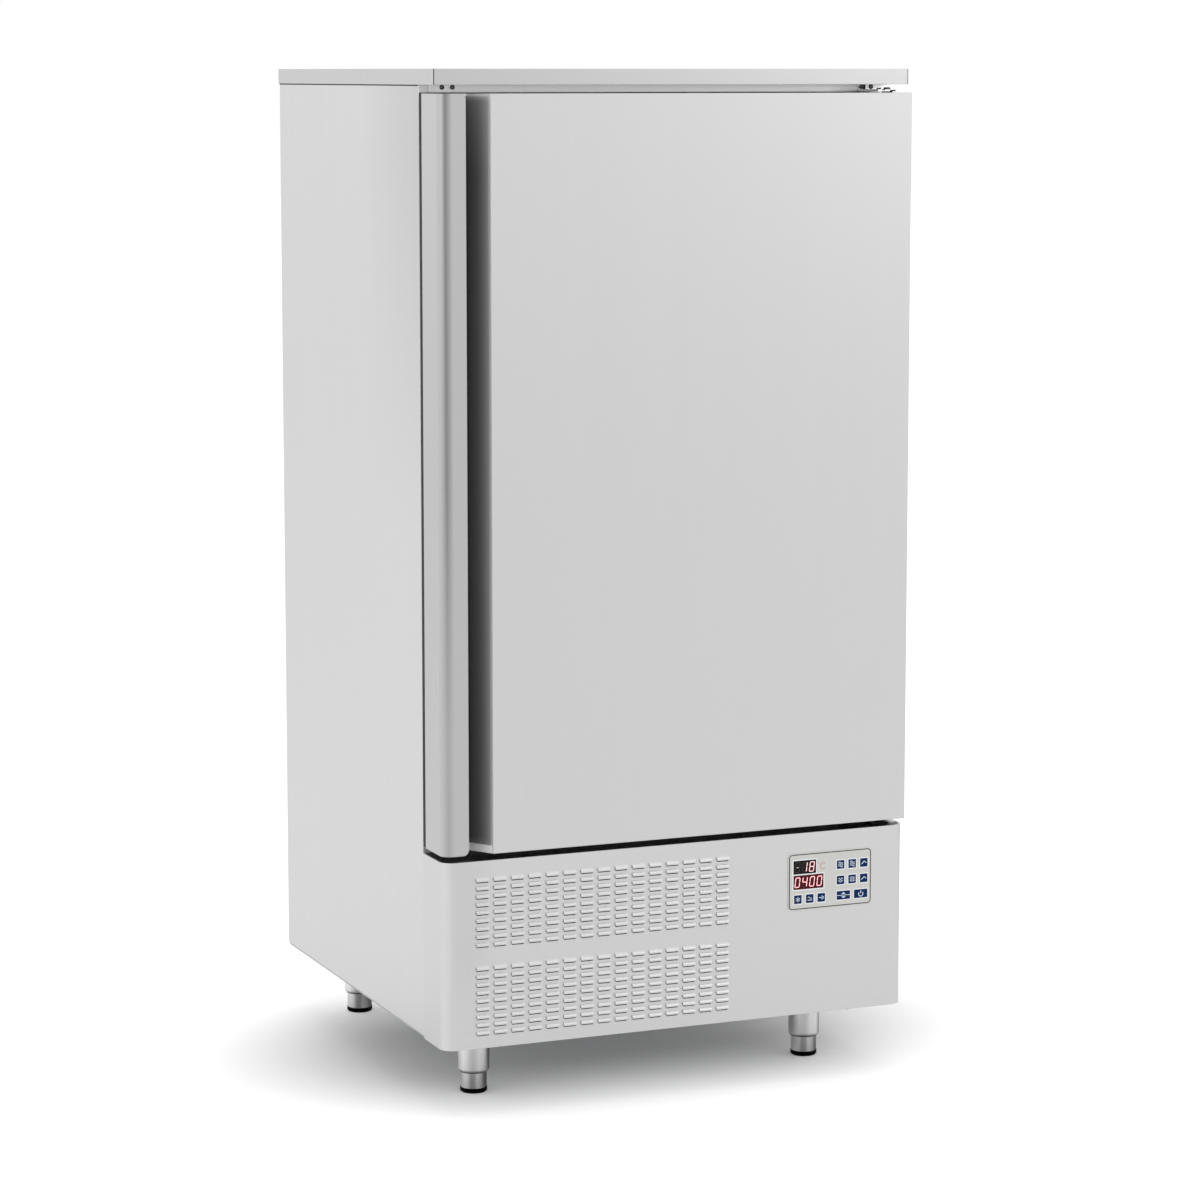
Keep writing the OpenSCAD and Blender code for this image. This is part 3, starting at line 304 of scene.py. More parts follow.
def floor_material():
    """Pale floor whose glow, for eye and gloss alone, rises to white away from the shadow."""
    look = Look("floor", roughness=0.9, specular=0.0)
    look.fill(look.shader, Base_Color=(*grey(FLOOR_TONE), 1), Emission_Color=(1, 1, 1, 1))
    away = look.vector("ABSOLUTE", look.place)["Vector"]
    away = look.vector("SUBTRACT", away, (SHADOW_HALF, 0, 0))["Vector"]
    away = look.vector("MAXIMUM", away, (0, 0, 0))["Vector"]
    reach = look.vector("LENGTH", away)["Value"]
    glow = look.spread(reach, SHADOW_CORE, SHADOW_REACH, GLOW_NEAR, GLOW_FAR, "SMOOTHSTEP")
    look.feed("Emission Strength", look.product(look.shown_to_eye(GLOSS_SHARE), glow))
    return look.mat


def card_material():
    look = Look("card", roughness=1, specular=0)
    look.fill(look.shader, Base_Color=(0, 0, 0, 1), Emission_Color=(*grey(CARD_TONE), 1),
              Emission_Strength=1)
    return look.mat


def dark_card(name, near, far):
    corners = [(*near, CARD_LOW), (*far, CARD_LOW), (*far, CARD_HIGH), (*near, CARD_HIGH)]
    card = flat_panel(name, corners, card_material())
    card.visible_camera = card.visible_diffuse = False
    card.visible_shadow = card.visible_transmission = False


flat_panel("floor", [(x * FLOOR_HALF, y * FLOOR_HALF, 0)
                     for x, y in ((-1, -1), (1, -1), (1, 1), (-1, 1))], floor_material())
dark_card("card_right", *CARD_ENDS)

# Steel, and the marks on it that are fixed to the object: dark lines, painted shade, painted light
# and painted reflections

FINE_GRAIN, SLOW_GRAIN = 900, 7  # noise scale across and along the brushing
STREAK_GROWTH = 6
CLOUD = (1.7, 1.7, 1.3)
GRAIN_DARK, GRAIN_LIGHT, STREAK_DARK = 0.975, 1.015, 0.99  # shares of the sheet's tone
VEIL_SHARE = 0.4
ROUGH_HALF = 0.03
MARK_TONE = 0.015
PAINTED_LIGHT_TONE = 0.9
HINGE_X = 371 * MM
AHEAD = (0, -1, 0)
LEFTWARD = (-1, 0, 0)
TUBE_SIDE = (0.922, -0.387, 0)
HAIR = 0.3 * MM


def steel(name, tone, along="Z", roughness=0.36, metallic=0.8, edge=0.0, mark=None, pale=None,
          painted_light_metal=0.0):
    """Stainless sheet with a fine brushed grain, faint large clouds and rounded folds; mark
    darkens it, mostly with painted shade, and pale adds painted light.
    """
    look = Look(name, metallic=metallic)
    stretch = [FINE_GRAIN, FINE_GRAIN, FINE_GRAIN]
    stretch["XYZ".index(along)] = SLOW_GRAIN
    grain = look.noise(stretch, detail=2.0)
    streak = look.noise([v / STREAK_GROWTH for v in stretch], detail=2.0)
    cloud = look.noise(CLOUD, detail=2.0, rough=0.4)
    surface = look.mix(grain, grey(tone * GRAIN_DARK), grey(tone * GRAIN_LIGHT))
    surface = look.mix(look.veil(streak, VEIL_SHARE), surface, grey(tone * STREAK_DARK))
    surface = look.mix(look.veil(cloud, VEIL_SHARE), surface, grey(tone * GRAIN_LIGHT))
    # mark: dark lines and painted shade, mixed towards MARK_TONE
    if mark:
        surface = look.mix(mark(look), surface, grey(MARK_TONE))
    # pale: painted light, a paler tone with less metal where light is painted on
    if pale:
        share = pale(look)
        surface = look.mix(share, surface, grey(PAINTED_LIGHT_TONE))
        look.feed("Metallic", look.spread(share, 0, 1, metallic, painted_light_metal))
    look.colour(surface)
    look.rough(streak, roughness - ROUGH_HALF, roughness + ROUGH_HALF)
    look.bump(grain, 0.1, 0.0002, edge)
    return look.mat


def corner_lines_and_shade(look):
    """A thin dark line down the worktop's front corners, and painted shade on its front, slightly
    darker towards the left.
    """
    low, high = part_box("worktop")
    corner_line, fade_end, darkest_shade = 1.1 * MM, 0.3, 0.13
    x = look.axis("X")
    side = look.above(look.maths("ABSOLUTE", x), high.x - corner_line)
    front = look.below(look.axis("Y"), low.y + corner_line)
    ahead = look.above(look.facing(AHEAD), 0.5)
    # painted shade: the front darker towards the left
    left = look.spread(x, low.x, fade_end, darkest_shade, 0.0)
    return look.highest(look.product(side, front), look.product(ahead, left))


def painted_shade_on_base(look):
    """Painted shade on the base front: its top black inside the bright fold, where it shows in the
    shade under the door, the louvres' shaded left ends, and a soft darker band beside the left
    corner."""
    low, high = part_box("base_front_panel")
    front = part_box("door_skin")[0].y
    corner, rim = 22 * MM, 3 * MM
    louvre_shade, shade_band_share = 0.5, 0.06
    x, y, z = look.axis("X"), look.axis("Y"), look.axis("Z")
    # painted shade: the top, seen through the gap under the door, black inside its rounded front
    # fold
    over = look.maths("SUBTRACT", look.maths("ABSOLUTE", x), high.x - corner)
    ahead = look.maths("SUBTRACT", front + corner, y)
    squares = [look.maths("POWER", look.highest(v, 0), 2) for v in (over, ahead)]
    inside = look.below(look.maths("SQRT", look.maths("ADD", *squares)), corner - rim)
    mat = look.product(inside, look.above(z, high.z - HAIR))
    # painted shade on the louvres' left ends
    hood = look.below(y, front - HAIR)
    shaded = look.product(hood, look.above(look.facing(LEFTWARD), 0.8), louvre_shade)
    # painted shade: a soft band beside the left corner, where the sheet turns
    beside = look.spread(x, low.x + 12 * MM, low.x + corner, 0.0, shade_band_share)
    faded = look.spread(x, low.x + 40 * MM, low.x + 90 * MM, 1.0, 0.0)
    upper = look.spread(z, 0.15, 0.25, 0.0, 1.0)
    return look.highest(mat, shaded, look.product(beside, faded, upper))


def bright_corner(look):
    """The brighter reflection down the base front's left corner."""
    brightest, width = 0.34, 23 * MM
    turned = look.spread(look.facing(LEFTWARD), 0.35, 0.85, 0.0, brightest)
    left = look.below(look.axis("X"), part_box("base_front_panel")[0].x + width)
    return look.product(turned, left)


def painted_edge_reflection(look):
    """Painted reflection: a soft dark band down the handle's rolled front corner, faint towards
    the bottom, and the handle slightly darker past the first few millimetres from its lip.
    """
    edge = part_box("door_handle")[0].x
    start, middle, end, lip = 2.3 * MM, 9.3 * MM, 20 * MM, 4 * MM
    lip_share = 0.13
    x = look.axis("X")
    rise = look.spread(x, edge + start, edge + middle, 0.0, 1.0)
    fall = look.spread(x, edge + middle, edge + end, 1.0, 0.0)
    strength = look.spread(look.axis("Z"), 0.6, 1.0, 0.17, 0.46)
    past_lip = look.spread(x, edge, edge + lip, 0.0, lip_share)
    return look.maths("ADD", look.product(rise, fall, strength), past_lip)


def lit_recess_foot(look):
    """Painted light: the end of the finger recess below its dark liner, pale and not metallic so
    that it reads bright though it lies in the recess's shade.
    """
    liner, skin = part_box("grip_liner"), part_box("door_skin")
    z = look.axis("Z")
    inside = look.above(look.axis("Y"), skin[0].y + 0.8 * MM)
    beside = look.below(look.axis("X"), liner[1].x + 0.2 * MM)
    return look.product(inside, beside, look.below(z, liner[0].z + 1 * MM),
                        look.above(z, skin[0].z + 0.2 * MM))


def hinge_painted_shade(look):
    """Painted shade on the top bracket: dark low down next to the door, a dark spool round the
    hinge pin and a dark notch above, where the pin's collar and the bracket lie in shadow.
    """
    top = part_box("door_skin")[1].z
    washer_top, spool_top, notch_low = top + 1.9 * MM, top + 4.2 * MM, top + 3.6 * MM
    spool_half, notch_half, notch_off = 5 * MM, 2.6 * MM, 16 * MM
    x, z = look.axis("X"), look.axis("Z")
    spool = look.product(look.within(x, HINGE_X, spool_half), look.below(z, spool_top))
    notch = look.product(look.within(x, HINGE_X - notch_off, notch_half),
                         look.above(z, notch_low))
    return look.highest(look.below(z, washer_top), spool, notch)


def shaded_bracket(look):
    """Painted shade: the bottom bracket black where it lies in the shadow under the door, bare
    metal at its outer end.
    """
    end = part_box("hinge_bracket_bottom")[1].x
    return look.spread(look.axis("X"), end - 13 * MM, end - 6 * MM, 1.0, 0.0)


def painted_light_above_door(look):
    """Painted light: the strip of frame that shows above the closed door, made pale though the
    worktop shades it.
    """
    return look.above(look.axis("Z"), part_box("door_skin")[1].z - 1 * MM)


def painted_light_front_fold(look):
    """Painted light on the side panels' front fold beside that strip."""
    fold = look.below(look.axis("Y"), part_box("side_panel_left")[0].y + 1 * MM)
    return look.product(fold, painted_light_above_door(look))


def side_painted_shade(look):
    """Painted shade: the side panels' upper part slightly darker, most of all in front."""
    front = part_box("side_panel_left")[0].y
    ahead = look.spread(look.axis("Y"), front + 260 * MM, front, 0.05, 0.19)
    upper = look.spread(look.axis("Z"), 0.9, 1.5, 0.0, 1.0)
    return look.product(ahead, upper)


def tube_reflections(look, streak, streak_share, stops):
    """Light and dark lengthwise reflections of a polished tube, streaked with grey."""
    side = look.spread(look.facing(TUBE_SIDE), -1, 1, 0, 1)
    return look.mix(look.veil(streak, streak_share), look.curve(side, stops), grey(0.5))


def polished_tube():
    """The legs' polished tube, with painted reflections along it and a painted dark reflection of
    the shadowed floor at its lower end.
    """
    look = Look("steel_leg", metallic=1.0)
    streak = look.noise((FINE_GRAIN, FINE_GRAIN, SLOW_GRAIN), detail=2.0)
    stops = [(0.0, 0.88), (0.2, 0.9), (0.4, 0.53), (0.5, 0.47), (0.6, 0.54), (0.68, 0.66),
             (0.8, 0.68), (0.86, 0.75), (0.92, 0.6), (0.97, 0.25)]
    tube = tube_reflections(look, streak, 0.1, stops)
    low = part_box("leg_tubes")[0].z
    # painted shade: the chamfered lower end dark, for the shadowed floor it reflects
    end = look.spread(look.axis("Z"), low + 1.2 * MM, low + 4.6 * MM, 0.85, 0.0)
    look.colour(look.mix(end, tube, grey(0.04)))
    look.rough(streak, 0.14, 0.2)
    look.bump(streak, 0.05, 0.0002)
    return look.mat


def foot_steel(pad_top):
    """Turned stainless tube with painted reflections along it, over a black rubber pad."""
    look = Look("foot_steel", metallic=1.0)
    rings = look.noise((3, 3, 1500), detail=1.0)
    stops = [(0.0, 0.8), (0.2, 0.84), (0.33, 0.56), (0.4, 0.28), (0.55, 0.3), (0.63, 0.56),
             (0.71, 0.6), (0.82, 0.46), (0.86, 0.3), (0.93, 0.16), (1.0, 0.13)]
    turned = tube_reflections(look, rings, 0.2, stops)
    above = look.above(look.axis("Z"), pad_top)
    rubber_rough, steel_rough = 0.6, 0.28
    look.colour(look.mix(above, grey(0.003), turned))
    look.feed("Roughness", look.spread(above, 0, 1, rubber_rough, steel_rough))
    look.bump(rings, 0.1, 0.0002)
    return look.mat


# The other materials


def galvanised():
    """Zinc-coated sheet with its crystal spangle."""
    look = Look("galvanised", metallic=0.8, roughness=0.45)
    dark, light = (0.43, 0.44, 0.45), (0.6, 0.61, 0.62)
    tone = look.spread(look.cells(70, output="Color"), 0, 1, 0.0, 1.0)
    look.colour(look.mix(tone, dark, light))
    look.rough(tone, 0.36, 0.52)
    look.bump(look.noise(60), 0.1, 0.0003)
    return look.mat


def foam():
    """Poured polyurethane foam, pale yellow with open cells at its cut face."""
    look = Look("foam", roughness=0.9, specular=0.2)
    dark, light = (0.62, 0.52, 0.26), (0.74, 0.65, 0.38)
    look.colour(look.mix(look.noise(9), dark, light))
    look.bump(look.cells(900), 0.4, 0.0006)
    return look.mat


def painted(name, colour):
    """Baked paint with a slight orange-peel surface and dust in patches."""
    roughness = 0.45
    look = Look(name, roughness=roughness)
    patch = look.noise(14)
    look.colour(look.mix(patch, scaled(colour, 0.8), scaled(colour, 1.25)))
    look.rough(patch, roughness - 0.08, roughness + 0.1)
    look.bump(look.noise(420, detail=1.0), 0.25, 0.0004)
    return look.mat


def moulded(name, colour):
    """Moulded plastic with a fine eroded texture."""
    roughness = 0.5
    look = Look(name, roughness=roughness)
    speck = look.noise(1400, detail=1.0)
    look.colour(look.mix(look.noise(25), scaled(colour, 0.9), scaled(colour, 1.1)))
    look.rough(speck, roughness - 0.06, roughness + 0.06)
    look.bump(speck, 0.18, 0.00015)
    return look.mat


def copper():
    """Drawn copper tube, slightly tarnished."""
    look = Look("copper", metallic=1.0)
    clean, tarnished = (0.78, 0.4, 0.24), (0.42, 0.2, 0.12)
    stain = look.noise(22, detail=5.0)
    look.colour(look.mix(look.spread(stain, 0.35, 0.75, 0, 1), clean, tarnished))
    look.rough(stain, 0.22, 0.42)
    look.bump(stain, 0.08, 0.0004)
    return look.mat


def finned(name, x0, x1):
    """Aluminium fins between two X places, and copper bends past them."""
    look = Look(name, metallic=0.9, roughness=0.4)
    bend, margin = (0.72, 0.37, 0.22), 0.5 * MM
    dust = look.noise((30, 30, 8), detail=4.0)
    metal = look.mix(dust, (0.5, 0.51, 0.52), (0.66, 0.67, 0.68))
    x = look.axis("X")
    inside = look.product(look.above(x, x0 - margin), look.below(x, x1 + margin))
    look.colour(look.mix(inside, bend, metal))
    look.rough(dust, 0.3, 0.5)
    look.bump(look.noise((300, 30, 300)), 0.1, 0.0003)
    return look.mat


def rubber(name, level):
    """Extruded elastomer with a dull skin."""
    look = Look(name, roughness=0.62, specular=0.35)
    bloom = look.noise(40, detail=4.0)
    look.colour(look.mix(bloom, grey(level * 0.8), grey(level * 1.3)))
    look.rough(bloom, 0.52, 0.72)
    look.bump(look.noise(600, detail=1.0), 0.15, 0.0002)
    return look.mat


def grip_with_painted_light(x_dark, x_light, z_low, z_high):
    """Dark recess liner with painted light: it turns to lit grey where its sloping side nears the
    door's front, and at its upper and lower ends, with painted shade in its deepest crease."""
    look = Look("grip_dark", roughness=0.45, specular=0.4)
    slope_power, slope_light_tone, crease_shade_tone = 3.6, 0.34, 0.03
    speck = look.noise((500, 500, 60), detail=2.0)
    slope = look.spread(look.axis("X"), x_dark, x_light, 0.0, 1.0)
    dark = look.mix(speck, grey(0.088), grey(0.1))
    # painted shade in the crease at the deep side
    crease_shaded = look.mix(look.spread(slope, 0.0, 0.07, 1.0, 0.0), dark, grey(crease_shade_tone))
    slope_lit = look.mix(look.maths("POWER", slope, slope_power), crease_shaded, grey(slope_light_tone))
    z = look.axis("Z")
    # painted light towards the recess's upper and lower ends
    slow_end = look.spread(z, z_high - 110 * MM, z_high - 20 * MM, 0.0, 0.07)
    top_end = look.maths("POWER", look.spread(z, z_high - 10 * MM, z_high, 0.0, 0.45), 2)
    low_end = look.maths("POWER", look.spread(z, z_low + 14 * MM, z_low, 0.0, 0.3), 2)
    end = look.chain("ADD", slow_end, top_end, low_end)
    look.colour(look.mix(end, slope_lit, grey(1.0)))
    look.rough(speck, 0.4, 0.5)
    look.bump(speck, 0.12, 0.0002)
    return look.mat


def film(name, colour, roughness=0.35, specular=0.4):
    """Printed polyester film with a faint leather emboss."""
    look = Look(name, roughness=roughness, specular=specular)
    look.colour(look.mix(look.noise(60), scaled(colour, 0.96), scaled(colour, 1.04)))
    look.bump(look.cells(2500), 0.12, 0.0001)
    return look.mat


def printed_border_and_shade(left_end):
    """The overlay's printed outline, with painted shade: dark down its left side, where the
    plate's raised edge shades it, greyer elsewhere.
    """
    look = Look("border_ink_and_shade", roughness=0.35, specular=0.4)
    left = look.below(look.axis("X"), left_end)
    fleck = look.noise(700, detail=1.0)
    look.colour(look.mix(left, look.mix(fleck, grey(0.05), grey(0.1)), grey(0.016)))
    look.bump(fleck, 0.1, 0.0001)
    return look.mat


def lit(name, colour, strength):
    """A lamp segment behind tinted glass, a little uneven."""
    look = Look(name, roughness=0.3, specular=0.1)
    glow = look.mix(look.noise(400, detail=1.0), scaled(colour, 0.85), colour)
    look.colour(glow)
    look.feed("Emission Color", glow)
    look.fill(look.shader, Emission_Strength=strength)
    return look.mat


def glass(name, colour):
    """Dark tinted display window."""
    look = Look(name, roughness=0.12, specular=0.15)
    haze = look.noise(120, detail=2.0)
    look.colour(look.mix(haze, scaled(colour, 0.7), scaled(colour, 1.3)))
    look.rough(haze, 0.08, 0.18)
    return look.mat


# The CAD nodes' materials

FOLD = 1.3 * MM
COIL_BEND = 32 * MM
FOOT_PAD_TOP = 8 * MM
GRIP_SLOPE = 24 * MM


def dress(material, *names):
    """Gives CAD nodes a material."""
    for name in names:
        mesh = nodes[name].data
        mesh.materials.clear()
        mesh.materials.append(material)


dress(steel("steel_side", tone=0.765, edge=FOLD, mark=side_painted_shade, pale=painted_light_front_fold,
            painted_light_metal=1.0),
      "side_panel_left", "side_panel_right", "back_panel")
dress(steel("steel_top", tone=0.63, along="X", edge=FOLD, mark=corner_lines_and_shade), "worktop")
dress(steel("steel_door", tone=0.65, edge=FOLD, pale=lit_recess_foot), "door_skin")
dress(steel("steel_handle", tone=0.6, roughness=0.3, edge=FOLD, mark=painted_edge_reflection), "door_handle")
dress(steel("steel_base", tone=0.66, along="X", edge=FOLD / 2, mark=painted_shade_on_base,
            pale=bright_corner, painted_light_metal=0.8), "base_front_panel")
dress(steel("steel_frame", tone=0.68, along="X", roughness=0.31, pale=painted_light_above_door,
            painted_light_metal=0.8), "front_frame")
dress(steel("steel_inner", tone=0.58, roughness=0.4), "chamber_liner", "door_liner",
      "fan_baffle", "tray_racks", "drain_pipe")
dress(polished_tube(), "leg_tubes")
dress(steel("steel_bracket", tone=0.85, along="X", roughness=0.25, mark=hinge_painted_shade),
      "hinge_bracket_top")
dress(steel("steel_probe", tone=0.8, along="X", roughness=0.25), "core_probe")
screw_look = steel("steel_screw", tone=0.1, roughness=0.2)
dress(screw_look, "body_screws")
dress(galvanised(), "deck_plate", "chassis_tray", "rear_grille")
dress(foam(), "cabinet_insulation", "door_insulation")
dress(painted("black_paint", grey(0.03)), "compressor", "liquid_receiver",
      "condenser_shroud", "control_box")
dress(steel("steel_bracket_low", tone=0.9, along="X", roughness=0.3, mark=shaded_bracket),
      "hinge_bracket_bottom")
dress(moulded("black_plastic", grey(0.025)), "condenser_fan_motor", "evaporator_fan_motors",
      "cable_gland", "condenser_fan_blade", "evaporator_fan_upper", "evaporator_fan_lower")
dress(moulded("white_plastic", grey(0.75)), "hinge_bushes")
dress(copper(), "filter_drier", "refrigerant_pipes")
for coil in ("condenser_coil", "evaporator_coil"):
    coil_low, coil_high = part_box(coil)
    dress(finned(coil + "_metal", coil_low.x + COIL_BEND, coil_high.x - COIL_BEND), coil)
seal_and_shade_look = rubber("seal_and_shade_rubber", 0.02)
dress(seal_and_shade_look, "door_gasket")
dress(foot_steel(FOOT_PAD_TOP), "foot_front_left", "foot_front_right", "foot_rear_left",
      "foot_rear_right")
dress(steel("shelf_wire", tone=0.62, roughness=0.22, metallic=0.95), "wire_shelf_upper",
      "wire_shelf_middle", "wire_shelf_lower")
grip_low, grip_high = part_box("grip_liner")
dress(grip_with_painted_light(grip_high.x - GRIP_SLOPE, grip_high.x, grip_low.z, grip_high.z), "grip_liner")
dress(film("panel_film", (0.7, 0.7, 0.67)), "control_panel")
dress(glass("display_glass", (0.006, 0.005, 0.005)), "display_board")
dress(film("key_film", (0.002, 0.024, 0.105), roughness=0.5, specular=0.12),
      *(name for name in nodes if name.startswith("key_")))

# Pieces in mesh code


def add_loft(bm, rings):
    """Joins rings of points with quads and closes both ends."""
    rows = [[bm.verts.new(point) for point in ring] for ring in rings]
    for lower, upper in zip(rows, rows[1:]):
        for i in range(len(lower)):
            j = (i + 1) % len(lower)
            bm.faces.new((lower[i], lower[j], upper[j], upper[i]))
    bm.faces.new(list(reversed(rows[0])))
    bm.faces.new(rows[-1])


def make_piece(name, lofts, material, body):
    """One piece of closed lofts, each a list of rings, that rides on a body."""
    bm = bmesh.new()
    for rings in lofts:
        add_loft(bm, rings)
    bmesh.ops.recalc_face_normals(bm, faces=bm.faces)
    mesh = bpy.data.meshes.new(name)
    bm.to_mesh(mesh)
    bm.free()
    mesh.materials.append(material)
    piece = bpy.data.objects.new(name, mesh)
    scene.collection.objects.link(piece)
    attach(piece, body)


# Flat prints: outlines of X and Z, in millimetres, raised by a hair from what they are on

PRINT = 0.12 * MM


def print_piece(name, outlines, centre, back, height, material, body):
    """Raises outlines about a centre from a plane of Y, towards the front."""
    cx, cz = centre
    lofts = [[[(cx + x * MM, y, cz + z * MM) for x, z in outline] for y in (back, back - height)]
             for outline in outlines]
    make_piece(name, lofts, material, body)


def bar(x0, z0, x1, z1, width):
    """A straight stroke of a given width."""
    run = Vector((x1 - x0, z1 - z0))
    side = Vector((-run.y, run.x)).normalized() * width / 2
    return [(x0 - side.x, z0 - side.y), (x1 - side.x, z1 - side.y),
            (x1 + side.x, z1 + side.y), (x0 + side.x, z0 + side.y)]


def spoke(angle, reach, width):
    """A straight stroke through the centre."""
    x, z = reach * math.cos(math.radians(angle)), reach * math.sin(math.radians(angle))
    return bar(-x, -z, x, z, width)


def arc(cx, cz, radius, width, start, end, steps=24):
    """A curved stroke as short quads."""
    inner, outer = radius - width / 2, radius + width / 2
    quads = []
    for i in range(steps):
        a, b = (math.radians(start + (end - start) * k / steps) for k in (i, i + 1))
        quads.append([(cx + r * math.cos(t), cz + r * math.sin(t))
                      for r, t in ((inner, a), (outer, a), (outer, b), (inner, b))])
    return quads


def wave(x0, x1, z, rise, width, turns):
    """A wavy stroke as short quads."""
    steps = 24
    points = []
    for i in range(steps + 1):
        t = i / steps
        points.append((x0 + (x1 - x0) * t, z + rise * math.sin(t * turns * 2 * math.pi)))
    return [bar(*a, *b, width) for a, b in zip(points, points[1:])]


def rounded(half_x, half_z, radius):
    """Corner points of a rounded rectangle about the centre."""
    steps = 8
    points = []
    for sx, sz, start in ((1, 1, 0), (-1, 1, 90), (-1, -1, 180), (1, -1, 270)):
        for i in range(steps + 1):
            a = math.radians(start + 90 * i / steps)
            points.append((sx * (half_x - radius) + radius * math.cos(a),
                           sz * (half_z - radius) + radius * math.sin(a)))
    return points


def ring(half_x, half_z, radius, width):
    """A rounded rectangular band as quads, its outer edge at the given half sizes."""
    outer = rounded(half_x, half_z, radius)
    inner = rounded(half_x - width, half_z - width, max(radius - width, 0.1))
    pairs = list(zip(outer, inner))
    return [[a, b, d, c] for (a, c), (b, d) in zip(pairs, pairs[1:] + pairs[:1])]


def shifted(shapes, dx):
    return [[(x + dx, z) for x, z in shape] for shape in shapes]


def front_view(name):
    """Centre, half sizes in millimetres and front face of a node, seen from the front."""
    low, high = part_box(name)
    centre = ((low.x + high.x) / 2, (low.z + high.z) / 2)
    return centre, ((high.x - low.x) / 2 / MM, (high.z - low.z) / 2 / MM), low.y


panel_centre, panel_half, panel_face = front_view("control_panel")
panel_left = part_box("control_panel")[0].x
board_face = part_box("display_board")[0].y


def on_panel(x, z):
    """A place by its distance in millimetres from the control panel's centre."""
    return (panel_centre[0] + x * MM, panel_centre[1] + z * MM)


# Displays

SEGMENTS = {"0": "abcdef", "1": "bc", "4": "bcfg", "8": "abcdefg", "-": "g"}
STROKE_SHARE = 0.155
GAP_SHARE = 0.12
SLANT = 0.12
MINUS_SHARE = 0.55
TEMPERATURE_PLACE, TIME_PLACE = (-45, 23.3), (-38.3, -1)
TIME_LIT_HALF, TIME_LIT_RADIUS = (26.0, 11.0), 0.5
DISPLAYS = [  # name, place on the panel, digits, digit pitch and digit size, in millimetres
    ("temperature", TEMPERATURE_PLACE, "-18", 12.6, (8.6, 16.5)),
    ("time", TIME_PLACE, "0400", 12.9, (8.8, 16.5)),
]

segment_red = lit("segment_red", (1.0, 0.54, 0.57), 0.95)
segment_faint = lit("segment_faint", (0.5, 0.4, 0.41), 0.5)
segment_dark = film("segment_dark", (0.045, 0.038, 0.038), specular=0.15)
backlight = lit("display_backlight", (0.07, 0.003, 0.006), 0.3)


def digit_bars(char, width, height, lit_part):
    """Segments of one digit, slanted, about its centre: the lit ones or the dark ones."""
    stroke = width * STROKE_SHARE
    gap = stroke * GAP_SHARE
    x, z = width / 2 - stroke / 2, height / 2 - stroke / 2
    ends = {
        "a": (-x, z, x, z), "b": (x, z, x, 0), "c": (x, 0, x, -z), "d": (-x, -z, x, -z),
        "e": (-x, 0, -x, -z), "f": (-x, z, -x, 0), "g": (-x, 0, x, 0),
    }
    shapes = []
    for name, (x0, z0, x1, z1) in ends.items():
        if (name in SEGMENTS[char]) != lit_part:
            continue
        along = Vector((x1 - x0, z1 - z0)).normalized()
        side = Vector((-along.y, along.x)) * stroke / 2
        a, b = Vector((x0, z0)) + along * gap, Vector((x1, z1)) - along * gap
        tip = along * stroke / 2
        shapes.append([(p.x + SLANT * p.y, p.y) for p in
                       (a, a + tip - side, b - tip - side, b, b - tip + side, a + tip + side)])
    return shapes


def print_on_board(name, shapes, place, height, material):
    print_piece(name, shapes, on_panel(*place), board_face, height, material, "cabinet")


def make_display(name, place, chars, pitch, size):
    """A short faint minus, and the lit and the dark segments of the digits."""
    middle = (len(chars) - 1) / 2
    if chars[0] == "-":
        dash = [[(x * MINUS_SHARE, z) for x, z in shape] for shape in digit_bars("-", *size, True)]
        print_on_board(name + "_minus", shifted(dash, -middle * pitch), place, PRINT,
                       segment_faint)
    for part, material in ((True, segment_red), (False, segment_dark)):
        shapes = []
        for i, char in enumerate(chars):
            if char != "-" or not part:
                shapes += shifted(digit_bars(char, *size, part), (i - middle) * pitch)
        print_on_board(f"{name}_{'lit' if part else 'unlit'}_segments", shapes, place, PRINT,
                       material)


for display in DISPLAYS:
    make_display(*display)
print_on_board("time_backlight", [rounded(*TIME_LIT_HALF, TIME_LIT_RADIUS)], TIME_PLACE,
               PRINT / 3, backlight)

# The overlay's printed border, with painted shade down its left side, the pale fields round
# displays and keys, and the degree sign

BORDER_INSET, BORDER_RADIUS, BORDER_WIDTH = 1.2, 6.0, 1.6
FIELD_MARGIN, FIELD_GAP, FIELD_RADIUS = 1.9, 0.1, 1.6
TEMPERATURE_HALF, TIME_HALF = (20, 11), (26.5, 11.5)
KEY_FLANGE = 1

border_ink_and_shade = printed_border_and_shade(panel_left + 2.6 * MM)
halo_ink = film("halo_ink", (0.93, 0.96, 0.98))
faint_red = film("faint_red_ink", (0.68, 0.38, 0.38))
sign_ink = film("sign_ink", (0.78, 0.89, 1.0))


def print_on_panel(name, shapes, place, height, material):
    print_piece(name, shapes, place, panel_face, height, material, "cabinet")


def field(name, place, half_x, half_z, height=PRINT / 2):
    """A pale band round a window or key."""
    band = ring(half_x + FIELD_MARGIN, half_z + FIELD_MARGIN, FIELD_RADIUS,
                FIELD_MARGIN - FIELD_GAP)
    print_on_panel(name + "_field", band, place, height, halo_ink)


border = ring(panel_half[0] - BORDER_INSET, panel_half[1] - BORDER_INSET, BORDER_RADIUS,
              BORDER_WIDTH)
print_on_panel("panel_border", border, panel_centre, PRINT / 2, border_ink_and_shade)
field("temperature", on_panel(*TEMPERATURE_PLACE), *TEMPERATURE_HALF)
field("time", on_panel(*TIME_PLACE), *TIME_HALF, PRINT * 0.7)
celsius = arc(-21.0, 28.5, 1.3, 0.8, 0, 360, 12) + arc(-12.5, 23.0, 5.0, 1.5, 45, 315)
print_on_panel("celsius_mark", celsius, panel_centre, PRINT, faint_red)

# Generic signs on the keys

